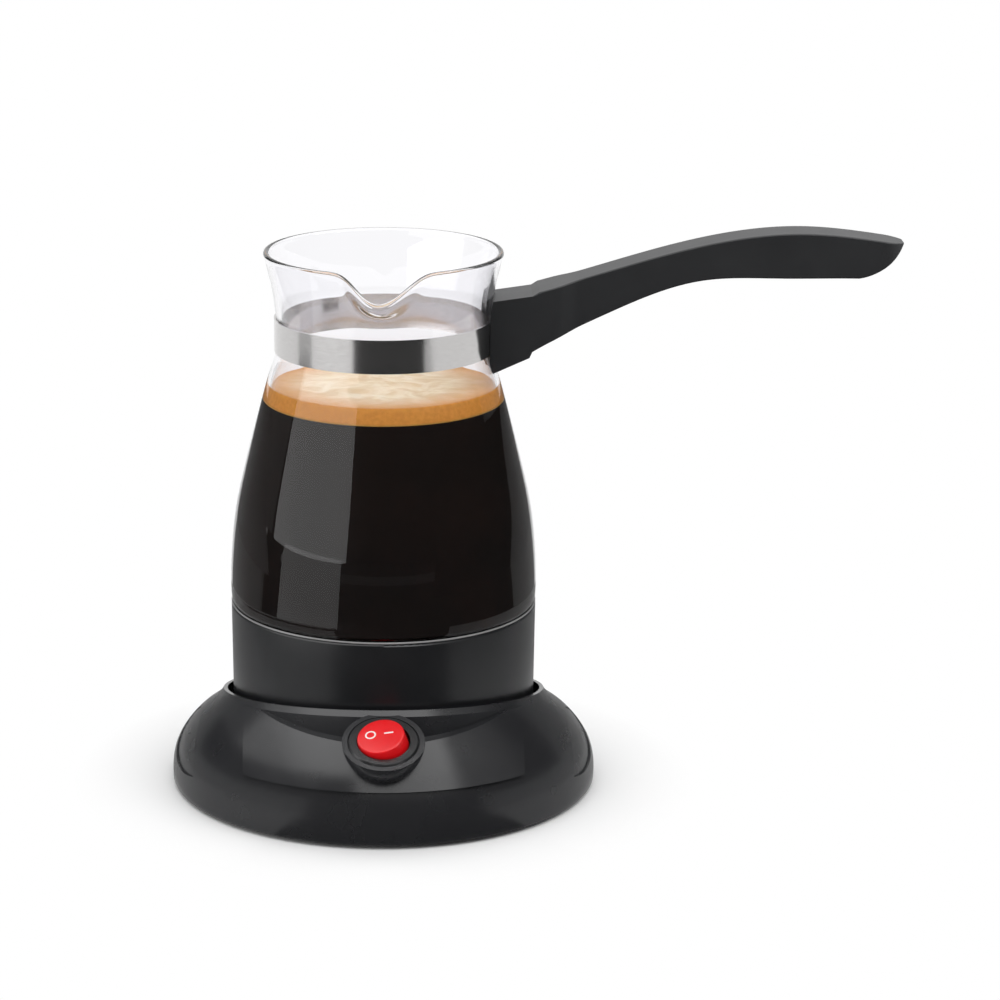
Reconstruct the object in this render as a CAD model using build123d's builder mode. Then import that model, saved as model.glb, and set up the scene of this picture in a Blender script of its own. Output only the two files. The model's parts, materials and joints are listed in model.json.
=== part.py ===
"""Electric Turkish coffee maker: a glass jug with a heater in its collar, on a lift-off base.

Frame: +Z up, origin on the jug's axis at the height of the table, spout and switch towards -Y,
handle towards +X.  Lengths are in millimetres, angles in degrees.
"""

from build123d import *
from math import cos, radians, sin, sqrt, tan
import os

os.makedirs("parts", exist_ok=True)

# ---------------------------------------------------------------- fits
SEAT = 0.2  # side gap between two pieces of one assembly
RUN = 0.08  # radial gap of a shank or a pivot pin in its hole
FREE = 0.3  # gap between pieces that move past each other
REACH = 300.0  # longer than anything here, for cuts that go right through

# ---------------------------------------------------------------- screws
SCREW_R = 1.5
SCREW_HEAD_R = 3.0
SCREW_HEAD_H = 2.0
SCREW_L = 8.0
BOSS_R = 3.6

# ---------------------------------------------------------------- where the jug stands
WELL_FLOOR_Z = 14.5
JUG_REST_GAP = 0.3
JUG_FLOOR_Z = WELL_FLOOR_Z + JUG_REST_GAP

# ---------------------------------------------------------------- collar
COLLAR_R = 50.0
COLLAR_LIFT = 0.4  # collar's edge above the jug's floor
COLLAR_FOOT_Z = JUG_FLOOR_Z + COLLAR_LIFT
COLLAR_H = 46.3
COLLAR_TOP_Z = COLLAR_FOOT_Z + COLLAR_H
COLLAR_DRAFT = 0.5
COLLAR_WALL = 2.4
COLLAR_EDGE_FILLET = 0.8
COLLAR_IN_R = COLLAR_R - COLLAR_DRAFT - COLLAR_WALL
LEDGE_T = 2.0
LEDGE_W = 3.0

# ---------------------------------------------------------------- glass
GLASS_WALL = 1.8
GLASS_H = 116.8  # from the collar to the rim
HEEL_Z = COLLAR_TOP_Z + SEAT
GLASS_TOP_Z = COLLAR_TOP_Z + GLASS_H
BELLY_STEP = 0.2  # belly beyond the collar
BELLY_R = COLLAR_R + BELLY_STEP
HEEL_INSET = 0.4  # heel inside the belly
NECK_R = 34.7
RIM_FLARE = 4.0
RIM_R = NECK_R + RIM_FLARE
MOUTH_H = 21.5  # flare above the neck
NECK_H = 11.4  # straight neck, under the band
NECK_HIGH_Z = GLASS_TOP_Z - MOUTH_H
NECK_LOW_Z = NECK_HIGH_Z - NECK_H
# outer wall from the heel to the neck: share of the way out to the belly, share of the way up
BELLY_SHAPE = ((1.0, 0.0992), (0.9226, 0.3262), (0.7355, 0.4994), (0.2903, 0.828))
BELLY_CURVE = [
    (NECK_R + out * (BELLY_R - NECK_R), HEEL_Z + up * (NECK_LOW_Z - HEEL_Z)) for out, up in BELLY_SHAPE
]
FLARE_OUT = 0.3  # share of the flare reached at FLARE_UP of its height
FLARE_UP = 0.3814
FLARE_CURVE = ((NECK_R, NECK_HIGH_Z), (NECK_R + FLARE_OUT * RIM_FLARE, NECK_HIGH_Z + FLARE_UP * MOUTH_H))
BEAD = 0.5  # silicone bead between the glass skirt and the collar
SKIRT_R = COLLAR_IN_R - BEAD  # glass skirt that stands in the collar
SPOUT_HALF_W = 16.0
SPOUT_DROP = 8.6
SPOUT_REACH = 6.0
SPOUT_ROOT_RISE = 1.2
SPOUT_ROOT_Z = NECK_HIGH_Z + SPOUT_ROOT_RISE
SPOUT_TIP_R = 3.4

# ---------------------------------------------------------------- band and handle
BAND_T = 0.6
BAND_EDGE_GAP = 0.3  # neck left bare above and below the band
BAND_LOW_Z = NECK_LOW_Z + BAND_EDGE_GAP
BAND_HIGH_Z = NECK_HIGH_Z - BAND_EDGE_GAP
BAND_MID_Z = (BAND_LOW_Z + BAND_HIGH_Z) / 2
EAR_L = 9.8
EAR_REACH = NECK_R + EAR_L
EAR_GAP = 1.0
EAR_H = 8.0
BAND_SCREW_OUT = 5.8
BAND_SCREW_X = NECK_R + BAND_SCREW_OUT
BAND_SCREW_L = 12.0
BAND_SCREW_SINK = 3.0
ROOT_HALF_W = 9.2
ROOT_SINK = 4.0  # root reaches in past the neck, and is cut back to it
ROOT_END_OUT = 19.3
GRIP_HALF_W = 6.9
GRIP_START_OUT = 29.3
HANDLE_UNDER_RISE = 19.1  # underside of the level stretch of the grip
HANDLE_EDGE_FILLET = 0.5
HANDLE_WALL = 2.2
POCKET_MARGIN = 2.0  # solid run between the start of the grip and its pocket
POCKET_L = 86.0
POCKET_OUT = GRIP_START_OUT + POCKET_MARGIN
POCKET_END_OUT = POCKET_OUT + POCKET_L
TIP_L = 14.3  # solid tip beyond the pocket
HANDLE_OUT = POCKET_END_OUT + TIP_L
# side outlines, out from the neck and up from the middle of the band
HANDLE_TOP_RUN = ((15.1, 15.3), (72.8, 31.1), (99.3, 33.7), (HANDLE_OUT, 30.1))
HANDLE_BOTTOM_RUN = (
    (12.9, -4.5),
    (36.5, 7.5),
    (67.8, 18.5),
    (92.3, HANDLE_UNDER_RISE),
    (POCKET_END_OUT, HANDLE_UNDER_RISE),
)
HANDLE_TIP_RUN = (HANDLE_OUT - 4.7, 23.6)
ROOT_TOP_RUN = ((-ROOT_SINK, 11.5), (12.9, 13.9))
ROOT_BOTTOM_RUN = ((-ROOT_SINK, -13.5), (12.1, -6.3))
COVER_T = 2.4
COVER_SCREW_IN = 48.0  # screws from the ends of the pocket
COVER_SCREW_END = 9.0
COVER_SCREW_RUN = (POCKET_OUT + COVER_SCREW_IN, POCKET_END_OUT - COVER_SCREW_END)
COVER_BOSS_R = 2.8
COVER_SCREW_R = 1.1
COVER_SCREW_HEAD_R = 2.3
COVER_SCREW_HEAD_H = 1.2
COVER_SCREW_L = 6.0

# ---------------------------------------------------------------- hub of the base
HUB_R = 20.0
HUB_RISE = 10.0  # above the floor of the well
HUB_TOP_Z = WELL_FLOOR_Z + HUB_RISE
HUB_FLANGE_W = 7.0
HUB_FLANGE_R = HUB_R + HUB_FLANGE_W
HUB_FLANGE_T = 2.5
HUB_CHAMFER = 1.5
SLOT_IN_R = 9.0
SLOT_OUT_R = 12.0
SLOT_DEPTH = 12.5
SLOT_FLOOR_Z = HUB_TOP_Z - SLOT_DEPTH
SOCKET_R = 3.2
CONTACT_T = 0.6
CONTACT_H = 9.0
TAG_R = 1.0  # solder tags under the hub
TAG_L = 5.0

# ---------------------------------------------------------------- heater
PLATE_T = 0.8
PLATE_DROP = 10.5  # underside of the raised disc below the collar's top
PLATE_Z = COLLAR_TOP_Z - PLATE_DROP
PLATE_STEP = 1.5
LEDGE_TOP_Z = PLATE_Z - PLATE_STEP
FLANGE_TOP_Z = LEDGE_TOP_Z + PLATE_T
GASKET_T = 1.9
GASKET_ARM_T = 2.4
GASKET_ARM_H = 2.8
SKIRT_Z = FLANGE_TOP_Z + GASKET_T
PLATE_DISC_R = SKIRT_R - GLASS_WALL - GASKET_ARM_T - 2 * SEAT
SPREADER_RIM = 6.0  # bare rim of the disc round the spreader
SPREADER_R = PLATE_DISC_R - SPREADER_RIM
SPREADER_T = 3.2
SPREADER_Z = PLATE_Z - SPREADER_T
ELEMENT_R = 3.2
ELEMENT_INSET = 9.0
ELEMENT_RING_R = SPREADER_R - ELEMENT_INSET
ELEMENT_GAP_ANGLE = 50.0
ELEMENT_TAIL_R = 1.2
ELEMENT_TAIL_L = 9.0
THERMOSTAT_H = 9.8
CONTROL_INSET = 6.0  # control inside the element's ring
CONTROL_R = ELEMENT_RING_R - CONTROL_INSET
CONTROL_RISE = 2.5  # control above the hub
CONTROL_Z = HUB_TOP_Z + CONTROL_RISE
CONTROL_TOP_Z = SPREADER_Z - THERMOSTAT_H
CONTROL_H = CONTROL_TOP_Z - CONTROL_Z
CONTROL_CHAMFER = 1.0
PILLAR_R = 3.0
PILLAR_INSET = 4.5
PILLAR_PITCH_R = CONTROL_R - PILLAR_INSET
PILLAR_START = 90.0
THERMOSTAT_CLEAR = 4.5  # room for the wires between the pillars and the thermostat
THERMOSTAT_R = PILLAR_PITCH_R - PILLAR_R - THERMOSTAT_CLEAR
CONTROL_SCREW_END = 2.8  # from the screw's tip to the spreader
CONTROL_SCREW_L = SPREADER_Z - CONTROL_Z - SCREW_HEAD_H - CONTROL_SCREW_END
FUSE_R = 2.0
FUSE_L = 12.0
FUSE_INSET = 5.5
FUSE_Y = FUSE_INSET - CONTROL_R
JUG_FLOOR_T = 3.0
JUG_FLOOR_OPENING = 2.5  # wider than the hub
JUG_BOSS_INSET = 3.1
JUG_BOSS_PITCH_R = COLLAR_IN_R - JUG_BOSS_INSET
JUG_BOSS_H = 12.0
JUG_BOSS_START = 30.0
PIN_L = 7.0  # reach of the jug's contacts into the hub
PIN_BOTTOM_Z = HUB_TOP_Z - PIN_L

# ---------------------------------------------------------------- base housing
EDGE_Z = 1.5  # lower edge of the housing, held off the table by the foot ring
WALL = 2.2
WELL_GAP = 1.7  # round the collar, so that the jug drops in by itself
WELL_R = COLLAR_R + WELL_GAP
WELL_WALL_R = WELL_R + WALL
WELL_UNDERSIDE_Z = WELL_FLOOR_Z - WALL
RIM_TILT = 10.4  # the rim of the well rises towards the front
RIM_SLOPE = tan(radians(RIM_TILT))
RIM_Z = 30.9  # top of the rim, on the axis
RIM_LAND = 1.3  # flat top of the rim
LIP_H = 2.0
LIP_STEP = 0.5  # lip beyond the wall of the well
LIP_BOTTOM_Z = RIM_Z - LIP_H
LIP_R = WELL_WALL_R + LIP_STEP
BASE_FLARE = 15.6
BASE_R = LIP_R + BASE_FLARE
# rings of the bell: share of the flare, share of the way up to the lip, share of the rim's tilt
BELL_SHAPE = (
    (1.0, 0.0, 0.0),
    (1.0, 0.146, 0.06),
    (0.955, 0.31, 0.17),
    (0.782, 0.529, 0.33),
    (0.487, 0.748, 0.55),
    (0.205, 0.9015, 0.8),
    (0.0, 1.0, 1.0),
)
BELL_FLANK = [
    (LIP_R + out * BASE_FLARE, EDGE_Z + up * (LIP_BOTTOM_Z - EDGE_Z), tilt) for out, up, tilt in BELL_SHAPE
]
BELL_RINGS = [*BELL_FLANK, (WELL_R + RIM_LAND, RIM_Z, 1.0)]
PANEL_INSET = 9.4  # flat-sided raised panel on the front, narrower than the lip
PANEL_HALF_W = LIP_R - PANEL_INSET
PANEL_PROUD = 0.6  # panel beyond the bell at its foot and under the lip
PANEL_FOOT_R = BASE_R + PANEL_PROUD
PANEL_DRAFT = 1.7  # from the foot of the panel to its crease
PANEL_CREASE_R = PANEL_FOOT_R - PANEL_DRAFT
PANEL_CREASE_Z = 18.8
PANEL_CROWN_IN = 5.7  # a ring between the crease and the lip crowns the panel
PANEL_CROWN_RISE = 4.0
PANEL_CROWN_TILT = 0.5
PANEL_TOP_R = LIP_R + PANEL_PROUD
SCOOP_INSET = 3.0  # crescent recess under the lip, inside the panel
SCOOP_HALF_W = PANEL_HALF_W - SCOOP_INSET
SCOOP_ARC_R = 202.0
SCOOP_H = 7.0
SCOOP_LOW_Z = LIP_BOTTOM_Z + RIM_SLOPE * LIP_R - SCOOP_H
SCOOP_SLOPE = 1.6  # the recess's wall leans out this much towards its foot
SCOOP_FOOT_R = LIP_R + SCOOP_SLOPE
CAVITY_TOP_Z = SCOOP_LOW_Z - RIM_SLOPE * SCOOP_FOOT_R - WALL  # on the axis, parallel to the rim
PAD_AZIMUTH = 15.0  # finger pads on the flanks, from the X axis towards the front
PAD_FRONT = (-14.3, 10.4)  # tips and arcs of a pad, back from its azimuth and up from the table
PAD_BACK = (25.0, 19.5)
PAD_CREST = (4.0, 23.6)
PAD_SAG = (2.6, 9.4)
PAD_DEPTH = 0.3
PAD_SLANT = 1.6  # a pad is this much deeper towards its front edge

# ---------------------------------------------------------------- switch
SWITCH_TILT = 24.0
SWITCH_INSET = 4.9
SWITCH_RISE = 5.85
SWITCH_Y = SWITCH_INSET - BASE_R
SWITCH_Z = LIP_BOTTOM_Z + SWITCH_RISE
POD_R = 13.1
POD_WALL = 1.6
BEZEL_R = 11.2
BEZEL_T = 1.6
BEZEL_PROUD = 0.4
BEZEL_CHAMFER = 0.5
ROCKER_R = 8.2
ROCKER_FACE_R = 7.5
ROCKER_SKIRT_R = 7.9
ROCKER_FILLET = 0.6
ROCKER_DEPTH = 3.0  # pivot below the bezel's face
ROCKER_TOP = 5.3  # face above the pivot
ROCKER_SKIRT = 1.6  # skirt below the pivot
ROCKER_WALL = 1.2
ROCKER_TILT = 10.0  # either side of level
PIVOT_R = 1.2
PIVOT_REACH = 9.2  # end of each pivot stub, from the middle
BARREL_WALL = 1.0
BARREL_DEPTH = 5.0
CUP_DEPTH = 6.5
CUP_WALL = 0.8
SWITCH_FLOOR = 1.0
TERMINAL_W = 2.6
TERMINAL_T = 0.8
TERMINAL_L = 2.5
TERMINAL_PITCH = 3.6
DECK_T = 2.0

# ---------------------------------------------------------------- base plate and cord inlet
FLOOR_T = 2.0
FLOOR_Z = 2.2  # underside of the base plate
FLOOR_SIDE_GAP = 0.3
FLOOR_SCREW_CLEAR = 2.5  # between the well's wall and the bosses
FLOOR_SCREW_PITCH_R = WELL_WALL_R + BOSS_R + FLOOR_SCREW_CLEAR
FLOOR_SCREW_ANGLE = 20.0  # either side of the X axis
FLOOR_PAD_R = 4.6  # raised pad round each screw
FLOOR_PAD_H = 1.8
FLOOR_SCREW_SINK = 2.4
FOOT_INSET = 5.0  # foot ring inside the circle of the screws
FOOT_W = 5.0
FOOT_OUT_R = FLOOR_SCREW_PITCH_R - FOOT_INSET
FOOT_IN_R = FOOT_OUT_R - FOOT_W
FOOT_SINK = 0.8  # the foot ring is let into the base plate
FOOT_GAP = 0.1
FOOT_CHAMFER = 0.8
HOLD_RING_INSET = 1.0
HOLD_RING_R = HUB_FLANGE_R - HOLD_RING_INSET  # ring on the base plate that holds the hub up
HOLD_RING_W = 2.0
GLAND_R = 4.6
GLAND_BORE_R = 3.3
GLAND_Z = 9.2
GLAND_FLANGE_R = 5.8
GLAND_FLANGE_T = 1.6
GLAND_L = 10.0
GLAND_PROUD = 1.0
GLAND_OUT_Y = BASE_R + GLAND_PROUD
GLAND_LEDGE = 0.6  # ledge of the housing round the gland's flange
CLAMP_W = 23.0
CLAMP_D = 4.0
CLAMP_T = 2.2
CLAMP_ARCH_T = 1.3
CLAMP_CLEAR = 0.6
CLAMP_Y = WELL_WALL_R + CLAMP_CLEAR + CLAMP_D / 2
CLAMP_SCREW_X = 8.4
CLAMP_SCREW_L = 5.0
BLOCK_Y = 18.0
BLOCK_L = 20.0
BLOCK_D = 9.0
BLOCK_H = 7.0
BLOCK_CLEAR = 1.0
BLOCK_X = -(HUB_FLANGE_R + BLOCK_CLEAR + BLOCK_L / 2)
BLOCK_PITCH = 6.0
BLOCK_HOLE_R = 1.4
BLOCK_CHAMFER = 0.5


def tilted_plane(height, share=1.0):
    """Plane through the axis at a height, rising to the front by a share of the rim's tilt."""
    tilt = radians(RIM_TILT * share)
    return Plane(origin=(0, 0, height), x_dir=(1, 0, 0), z_dir=(0, sin(tilt), cos(tilt)))


def ring_loft(rings, ruled=False):
    """Solid through rings that are round in plan, each on its own tilted plane."""
    with BuildPart() as form:
        for radius, height, share in rings:
            with BuildSketch(tilted_plane(height, share)):
                Ellipse(radius, radius / cos(radians(RIM_TILT * share)))
        loft(ruled=ruled)
    return form.part


def revolved(points, plane=Plane.XZ, axis=Axis.Z):
    """Solid of revolution from a closed outline of straight runs."""
    with BuildPart() as form:
        with BuildSketch(plane):
            with BuildLine():
                Polyline(*points, close=True)
            make_face()
        revolve(axis=axis)
    return form.part


def tube(outer_r, inner_r, low_z, high_z):
    """Upright tube about the Z axis."""
    with BuildPart() as form:
        with BuildSketch(Plane.XY.offset(low_z)):
            Circle(outer_r)
            if inner_r > 0:
                Circle(inner_r, mode=Mode.SUBTRACT)
        extrude(amount=high_z - low_z)
    return form.part


def pan_screw(plane, shank_l, shank_r=SCREW_R, head_r=SCREW_HEAD_R, head_h=SCREW_HEAD_H):
    """Screw whose head seats on a plane and whose shank runs along the plane's normal."""
    with BuildPart() as form:
        with BuildSketch(plane.offset(-head_h)):
            Circle(head_r)
        extrude(amount=head_h)
        with BuildSketch(plane):
            Circle(shank_r)
        extrude(amount=shank_l)
        rim = form.edges().filter_by(GeomType.CIRCLE).sort_by(lambda e: plane.to_local_coords(e.center()).Z)
        fillet(rim[0], radius=head_h / 3)
    return form.part


def save(piece, name):
    """Label a finished piece and write its STEP file."""
    piece.part.label = name
    export_step(piece.part, f"parts/{name}.step")


# ================================================================ glass jug
def wall_outline(inset):
    """Half outline of the jug's wall surface, from its foot to its rim, moved in by inset."""
    belly = [(r - inset, z) for r, z in BELLY_CURVE]
    flare = [(r - inset, z) for r, z in FLARE_CURVE]
    heel_r = BELLY_R - HEEL_INSET - inset
    skirt_r = SKIRT_R - inset
    with BuildLine() as outline:
        Line((skirt_r, SKIRT_Z), (skirt_r, HEEL_Z + inset))
        Line((skirt_r, HEEL_Z + inset), (heel_r - GLASS_WALL, HEEL_Z + inset))
        heel = TangentArc(
            (heel_r - GLASS_WALL, HEEL_Z + inset), (heel_r, HEEL_Z + inset + GLASS_WALL), tangent=(1, 0)
        )
        Spline(heel @ 1, *belly, (NECK_R - inset, NECK_LOW_Z), tangents=[(0, 1), (0, 1)])
        Line((NECK_R - inset, NECK_LOW_Z), flare[0])
        Spline(*flare, (RIM_R - inset, GLASS_TOP_Z), tangents=[(0, 1), (0.22, 1)])
    return outline.line


def jug_form(inset):
    """Solid bounded by the wall outline, with the spout's trough pushed out of its front."""
    with BuildPart() as form:
        with BuildSketch(Plane.XZ):
            with BuildLine():
                outline = add(wall_outline(inset))
                Line((RIM_R - inset, GLASS_TOP_Z), (0, GLASS_TOP_Z))
                Line((0, GLASS_TOP_Z), (0, SKIRT_Z))
                Line((0, SKIRT_Z), (SKIRT_R - inset, SKIRT_Z))
            make_face()
        revolve(axis=Axis.Z)
        with BuildSketch(Plane.XY.offset(SPOUT_ROOT_Z)):
            with Locations((0, -(NECK_R - SPOUT_TIP_R - inset))):
                Circle(SPOUT_TIP_R / 2)
        with BuildSketch(Plane.XY.offset(GLASS_TOP_Z)):
            with BuildLine():
                tip_y = -(RIM_R + SPOUT_REACH - inset)
                side = SPOUT_HALF_W - inset
                side_y = -sqrt((RIM_R - inset) ** 2 - side**2)
                Line((-side, side_y), (side, side_y))
                lip_run = ((side, side_y), (0, tip_y), (-side, side_y))
                Spline(*lip_run, tangents=[(-1, -0.9), (-1, 0), (-1, 0.9)])
            make_face()
        loft()
    return form.part


with BuildPart() as spout_notch:
    with BuildSketch(Plane.XZ.offset(RIM_R / 2)):
        with BuildLine():
            Spline(
                (-SPOUT_HALF_W, GLASS_TOP_Z),
                (0, GLASS_TOP_Z - SPOUT_DROP),
                (SPOUT_HALF_W, GLASS_TOP_Z),
                tangents=[(1, 0), (1, 0), (1, 0)],
            )
            Line((SPOUT_HALF_W, GLASS_TOP_Z), (SPOUT_HALF_W, GLASS_TOP_Z + REACH))
            Line((SPOUT_HALF_W, GLASS_TOP_Z + REACH), (-SPOUT_HALF_W, GLASS_TOP_Z + REACH))
            Line((-SPOUT_HALF_W, GLASS_TOP_Z + REACH), (-SPOUT_HALF_W, GLASS_TOP_Z))
        make_face()
    extrude(amount=RIM_R)

with BuildPart() as glass_jug:
    add(jug_form(0))
    add(jug_form(GLASS_WALL), mode=Mode.SUBTRACT)
    add(spout_notch.part, mode=Mode.SUBTRACT)
save(glass_jug, "glass_jug")

# ================================================================ steel band round the neck
with BuildPart() as neck_band:
    with BuildSketch(Plane.XY.offset(BAND_LOW_Z)):
        Circle(NECK_R + BAND_T)
        Circle(NECK_R, mode=Mode.SUBTRACT)
        with Locations((NECK_R, 0)):
            Rectangle(4 * BAND_T, EAR_GAP, mode=Mode.SUBTRACT)
    extrude(amount=BAND_HIGH_Z - BAND_LOW_Z)
    ear_z = (BAND_LOW_Z + BAND_HIGH_Z - EAR_H) / 2
    with BuildSketch(Plane.XY.offset(ear_z)):
        with Locations((NECK_R + BAND_T / 2, EAR_GAP / 2), (NECK_R + BAND_T / 2, -EAR_GAP / 2 - BAND_T)):
            Rectangle(EAR_REACH - NECK_R - BAND_T / 2, BAND_T, align=(Align.MIN, Align.MIN))
    extrude(amount=EAR_H)
    with BuildSketch(Plane.XZ.offset(-REACH / 2)):
        with Locations((BAND_SCREW_X, ear_z + EAR_H / 2)):
            Circle(SCREW_R + RUN)
    extrude(amount=REACH, mode=Mode.SUBTRACT)
save(neck_band, "neck_band")

# ================================================================ handle
def from_band(run):
    """Points of the handle's side outline, given out from the neck and up from the band's middle."""
    return [(NECK_R + out, BAND_MID_Z + up) for out, up in run]


HANDLE_TOP = from_band(HANDLE_TOP_RUN)
HANDLE_BOTTOM = from_band(HANDLE_BOTTOM_RUN)
HANDLE_TIP = (NECK_R + HANDLE_TIP_RUN[0], BAND_MID_Z + HANDLE_TIP_RUN[1])
HANDLE_UNDER_Z = BAND_MID_Z + HANDLE_UNDER_RISE
ROOT_TOP = from_band(ROOT_TOP_RUN)
ROOT_BOTTOM = from_band(ROOT_BOTTOM_RUN)
ROOT_END_X = NECK_R + ROOT_END_OUT
GRIP_START_X = NECK_R + GRIP_START_OUT
HANDLE_END_X = NECK_R + HANDLE_OUT
POCKET_START_X = NECK_R + POCKET_OUT


def handle_side(half_w, top_inset=0.0, bottom_inset=0.0):
    """Side outline of the handle at one flank, with its upper and lower edges moved in."""
    top = [(x, z - top_inset) for x, z in HANDLE_TOP]
    bottom = [(x, z + bottom_inset) for x, z in HANDLE_BOTTOM]
    with BuildSketch(Plane.XZ.offset(-half_w)) as side:
        with BuildLine():
            Line(ROOT_TOP[0], ROOT_TOP[1])
            Line(ROOT_TOP[1], top[0])
            Spline(*top, tangents=[(1, 0.27), (1, -0.16)])
            ThreePointArc(top[-1], HANDLE_TIP, bottom[-1])
            Spline(*bottom[::-1], tangents=[(-1, 0.02), (-1, -0.62)])
            Line(bottom[0], ROOT_BOTTOM[1])
            Line(ROOT_BOTTOM[1], ROOT_BOTTOM[0])
            Line(ROOT_BOTTOM[0], ROOT_TOP[0])
        make_face()
    return side.sketch


with BuildPart() as handle_plan:
    with BuildSketch(Plane.XY):
        with BuildLine():
            Line((0, -ROOT_HALF_W), (0, ROOT_HALF_W))
            Line((0, ROOT_HALF_W), (ROOT_END_X, ROOT_HALF_W))
            Spline(
                (ROOT_END_X, ROOT_HALF_W), (GRIP_START_X, GRIP_HALF_W), tangents=[(1, -0.02), (1, -0.02)]
            )
            Line((GRIP_START_X, GRIP_HALF_W), (HANDLE_END_X - GRIP_HALF_W, GRIP_HALF_W))
            ThreePointArc(
                (HANDLE_END_X - GRIP_HALF_W, GRIP_HALF_W),
                (HANDLE_END_X + 1, 0),
                (HANDLE_END_X - GRIP_HALF_W, -GRIP_HALF_W),
            )
            Line((HANDLE_END_X - GRIP_HALF_W, -GRIP_HALF_W), (GRIP_START_X, -GRIP_HALF_W))
            Spline(
                (GRIP_START_X, -GRIP_HALF_W), (ROOT_END_X, -ROOT_HALF_W), tangents=[(-1, -0.02), (-1, -0.02)]
            )
            Line((ROOT_END_X, -ROOT_HALF_W), (0, -ROOT_HALF_W))
        make_face()
    extrude(amount=REACH)

with BuildPart() as neck_clearance:
    with BuildSketch(Plane.XZ):
        with BuildLine():
            add(wall_outline(-BAND_T - SEAT / 2))
            Line((RIM_R + BAND_T + SEAT / 2, GLASS_TOP_Z), (0, GLASS_TOP_Z))
            Line((0, GLASS_TOP_Z), (0, SKIRT_Z))
            Line((0, SKIRT_Z), (SKIRT_R + BAND_T + SEAT / 2, SKIRT_Z))
        make_face()
    revolve(axis=Axis.Z)

POCKET_HALF_W = GRIP_HALF_W - HANDLE_WALL

with BuildPart() as handle_pocket:
    extrude(handle_side(POCKET_HALF_W, HANDLE_WALL, -REACH / 10), amount=2 * POCKET_HALF_W)
    with BuildSketch(Plane.YZ.offset(POCKET_START_X)):
        Rectangle(REACH, 2 * REACH)
    extrude(amount=POCKET_L, mode=Mode.INTERSECT)

with BuildPart() as handle_form:
    extrude(handle_side(ROOT_HALF_W + 1), amount=2 * ROOT_HALF_W + 2)
    add(handle_plan.part, mode=Mode.INTERSECT)
    flank = handle_form.edges().filter_by(lambda e: abs(e.center().Y) > GRIP_HALF_W / 2)
    flank = flank.filter_by(lambda e: e.center().X > ROOT_BOTTOM[1][0] and abs(e.tangent_at(0.5).Z) < 0.95)
    fillet(flank.filter_by(lambda e: e.center().Z > BAND_HIGH_Z + BAND_T), radius=HANDLE_EDGE_FILLET)

EAR_SLOT_HALF_W = EAR_GAP / 2 + BAND_T + SEAT
COVER_SCREWS = [(NECK_R + out, 0) for out in COVER_SCREW_RUN]
COVER_SEAT = Plane.XY.offset(HANDLE_UNDER_Z + COVER_SCREW_HEAD_H)

with BuildPart() as cover_bosses:
    with BuildSketch(Plane.XY.offset(HANDLE_UNDER_Z + COVER_T + 2 * SEAT)):
        with Locations(*COVER_SCREWS):
            Circle(COVER_BOSS_R)
    extrude(amount=REACH)
    add(handle_form.part, mode=Mode.INTERSECT)

with BuildPart() as handle_grip:
    add(handle_form.part)
    add(neck_clearance.part, mode=Mode.SUBTRACT)
    add(handle_pocket.part, mode=Mode.SUBTRACT)
    with BuildSketch(Plane.XY.offset(ear_z - SEAT)):
        Rectangle(EAR_REACH + SEAT, 2 * EAR_SLOT_HALF_W, align=(Align.MIN, Align.CENTER))
    extrude(amount=EAR_H + 2 * SEAT, mode=Mode.SUBTRACT)
    head_plane = Plane(
        origin=(BAND_SCREW_X, ROOT_HALF_W - BAND_SCREW_SINK, BAND_MID_Z), x_dir=(1, 0, 0), z_dir=(0, -1, 0)
    )
    with BuildSketch(head_plane):
        Circle(SCREW_HEAD_R + SEAT)
    extrude(amount=-2 * BAND_SCREW_SINK, mode=Mode.SUBTRACT)
    with BuildSketch(head_plane):
        Circle(SCREW_R + RUN)
    extrude(amount=BAND_SCREW_L + SEAT, mode=Mode.SUBTRACT)
    add(cover_bosses.part)
    with BuildSketch(Plane.XY.offset(HANDLE_UNDER_Z)):
        with Locations(*COVER_SCREWS):
            Circle(COVER_SCREW_R + RUN)
    extrude(amount=COVER_SCREW_HEAD_H + COVER_SCREW_L + SEAT, mode=Mode.SUBTRACT)
save(handle_grip, "handle_grip")

with BuildPart() as handle_cover:
    add(handle_form.part)
    with BuildSketch(Plane.YZ.offset(POCKET_START_X + SEAT)):
        Rectangle(2 * (POCKET_HALF_W - SEAT), 2 * REACH)
    extrude(amount=POCKET_L - 2 * SEAT, mode=Mode.INTERSECT)
    extrude(handle_side(POCKET_HALF_W, -REACH / 10, COVER_T), amount=2 * POCKET_HALF_W, mode=Mode.SUBTRACT)
    with BuildSketch(Plane.XY.offset(HANDLE_UNDER_Z)):
        with Locations(*COVER_SCREWS):
            Circle(COVER_SCREW_R + RUN)
    extrude(amount=COVER_T + SEAT, mode=Mode.SUBTRACT)
    with BuildSketch(COVER_SEAT):
        with Locations(*COVER_SCREWS):
            Circle(COVER_SCREW_HEAD_R + SEAT)
    extrude(amount=-COVER_T, mode=Mode.SUBTRACT)
save(handle_cover, "handle_cover")

with BuildPart() as handle_cover_screws:
    with Locations(*[Location((x, y, 0)) for x, y in COVER_SCREWS]):
        add(pan_screw(COVER_SEAT, COVER_SCREW_L, COVER_SCREW_R, COVER_SCREW_HEAD_R, COVER_SCREW_HEAD_H))
save(handle_cover_screws, "handle_cover_screws")

with BuildPart() as band_screw:
    add(pan_screw(head_plane, BAND_SCREW_L))
save(band_screw, "band_screw")

# ================================================================ collar and heater
BOSS_FOOT_Z = JUG_FLOOR_Z + JUG_FLOOR_T
JUG_BOSSES = PolarLocations(JUG_BOSS_PITCH_R, 3, start_angle=JUG_BOSS_START)

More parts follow.
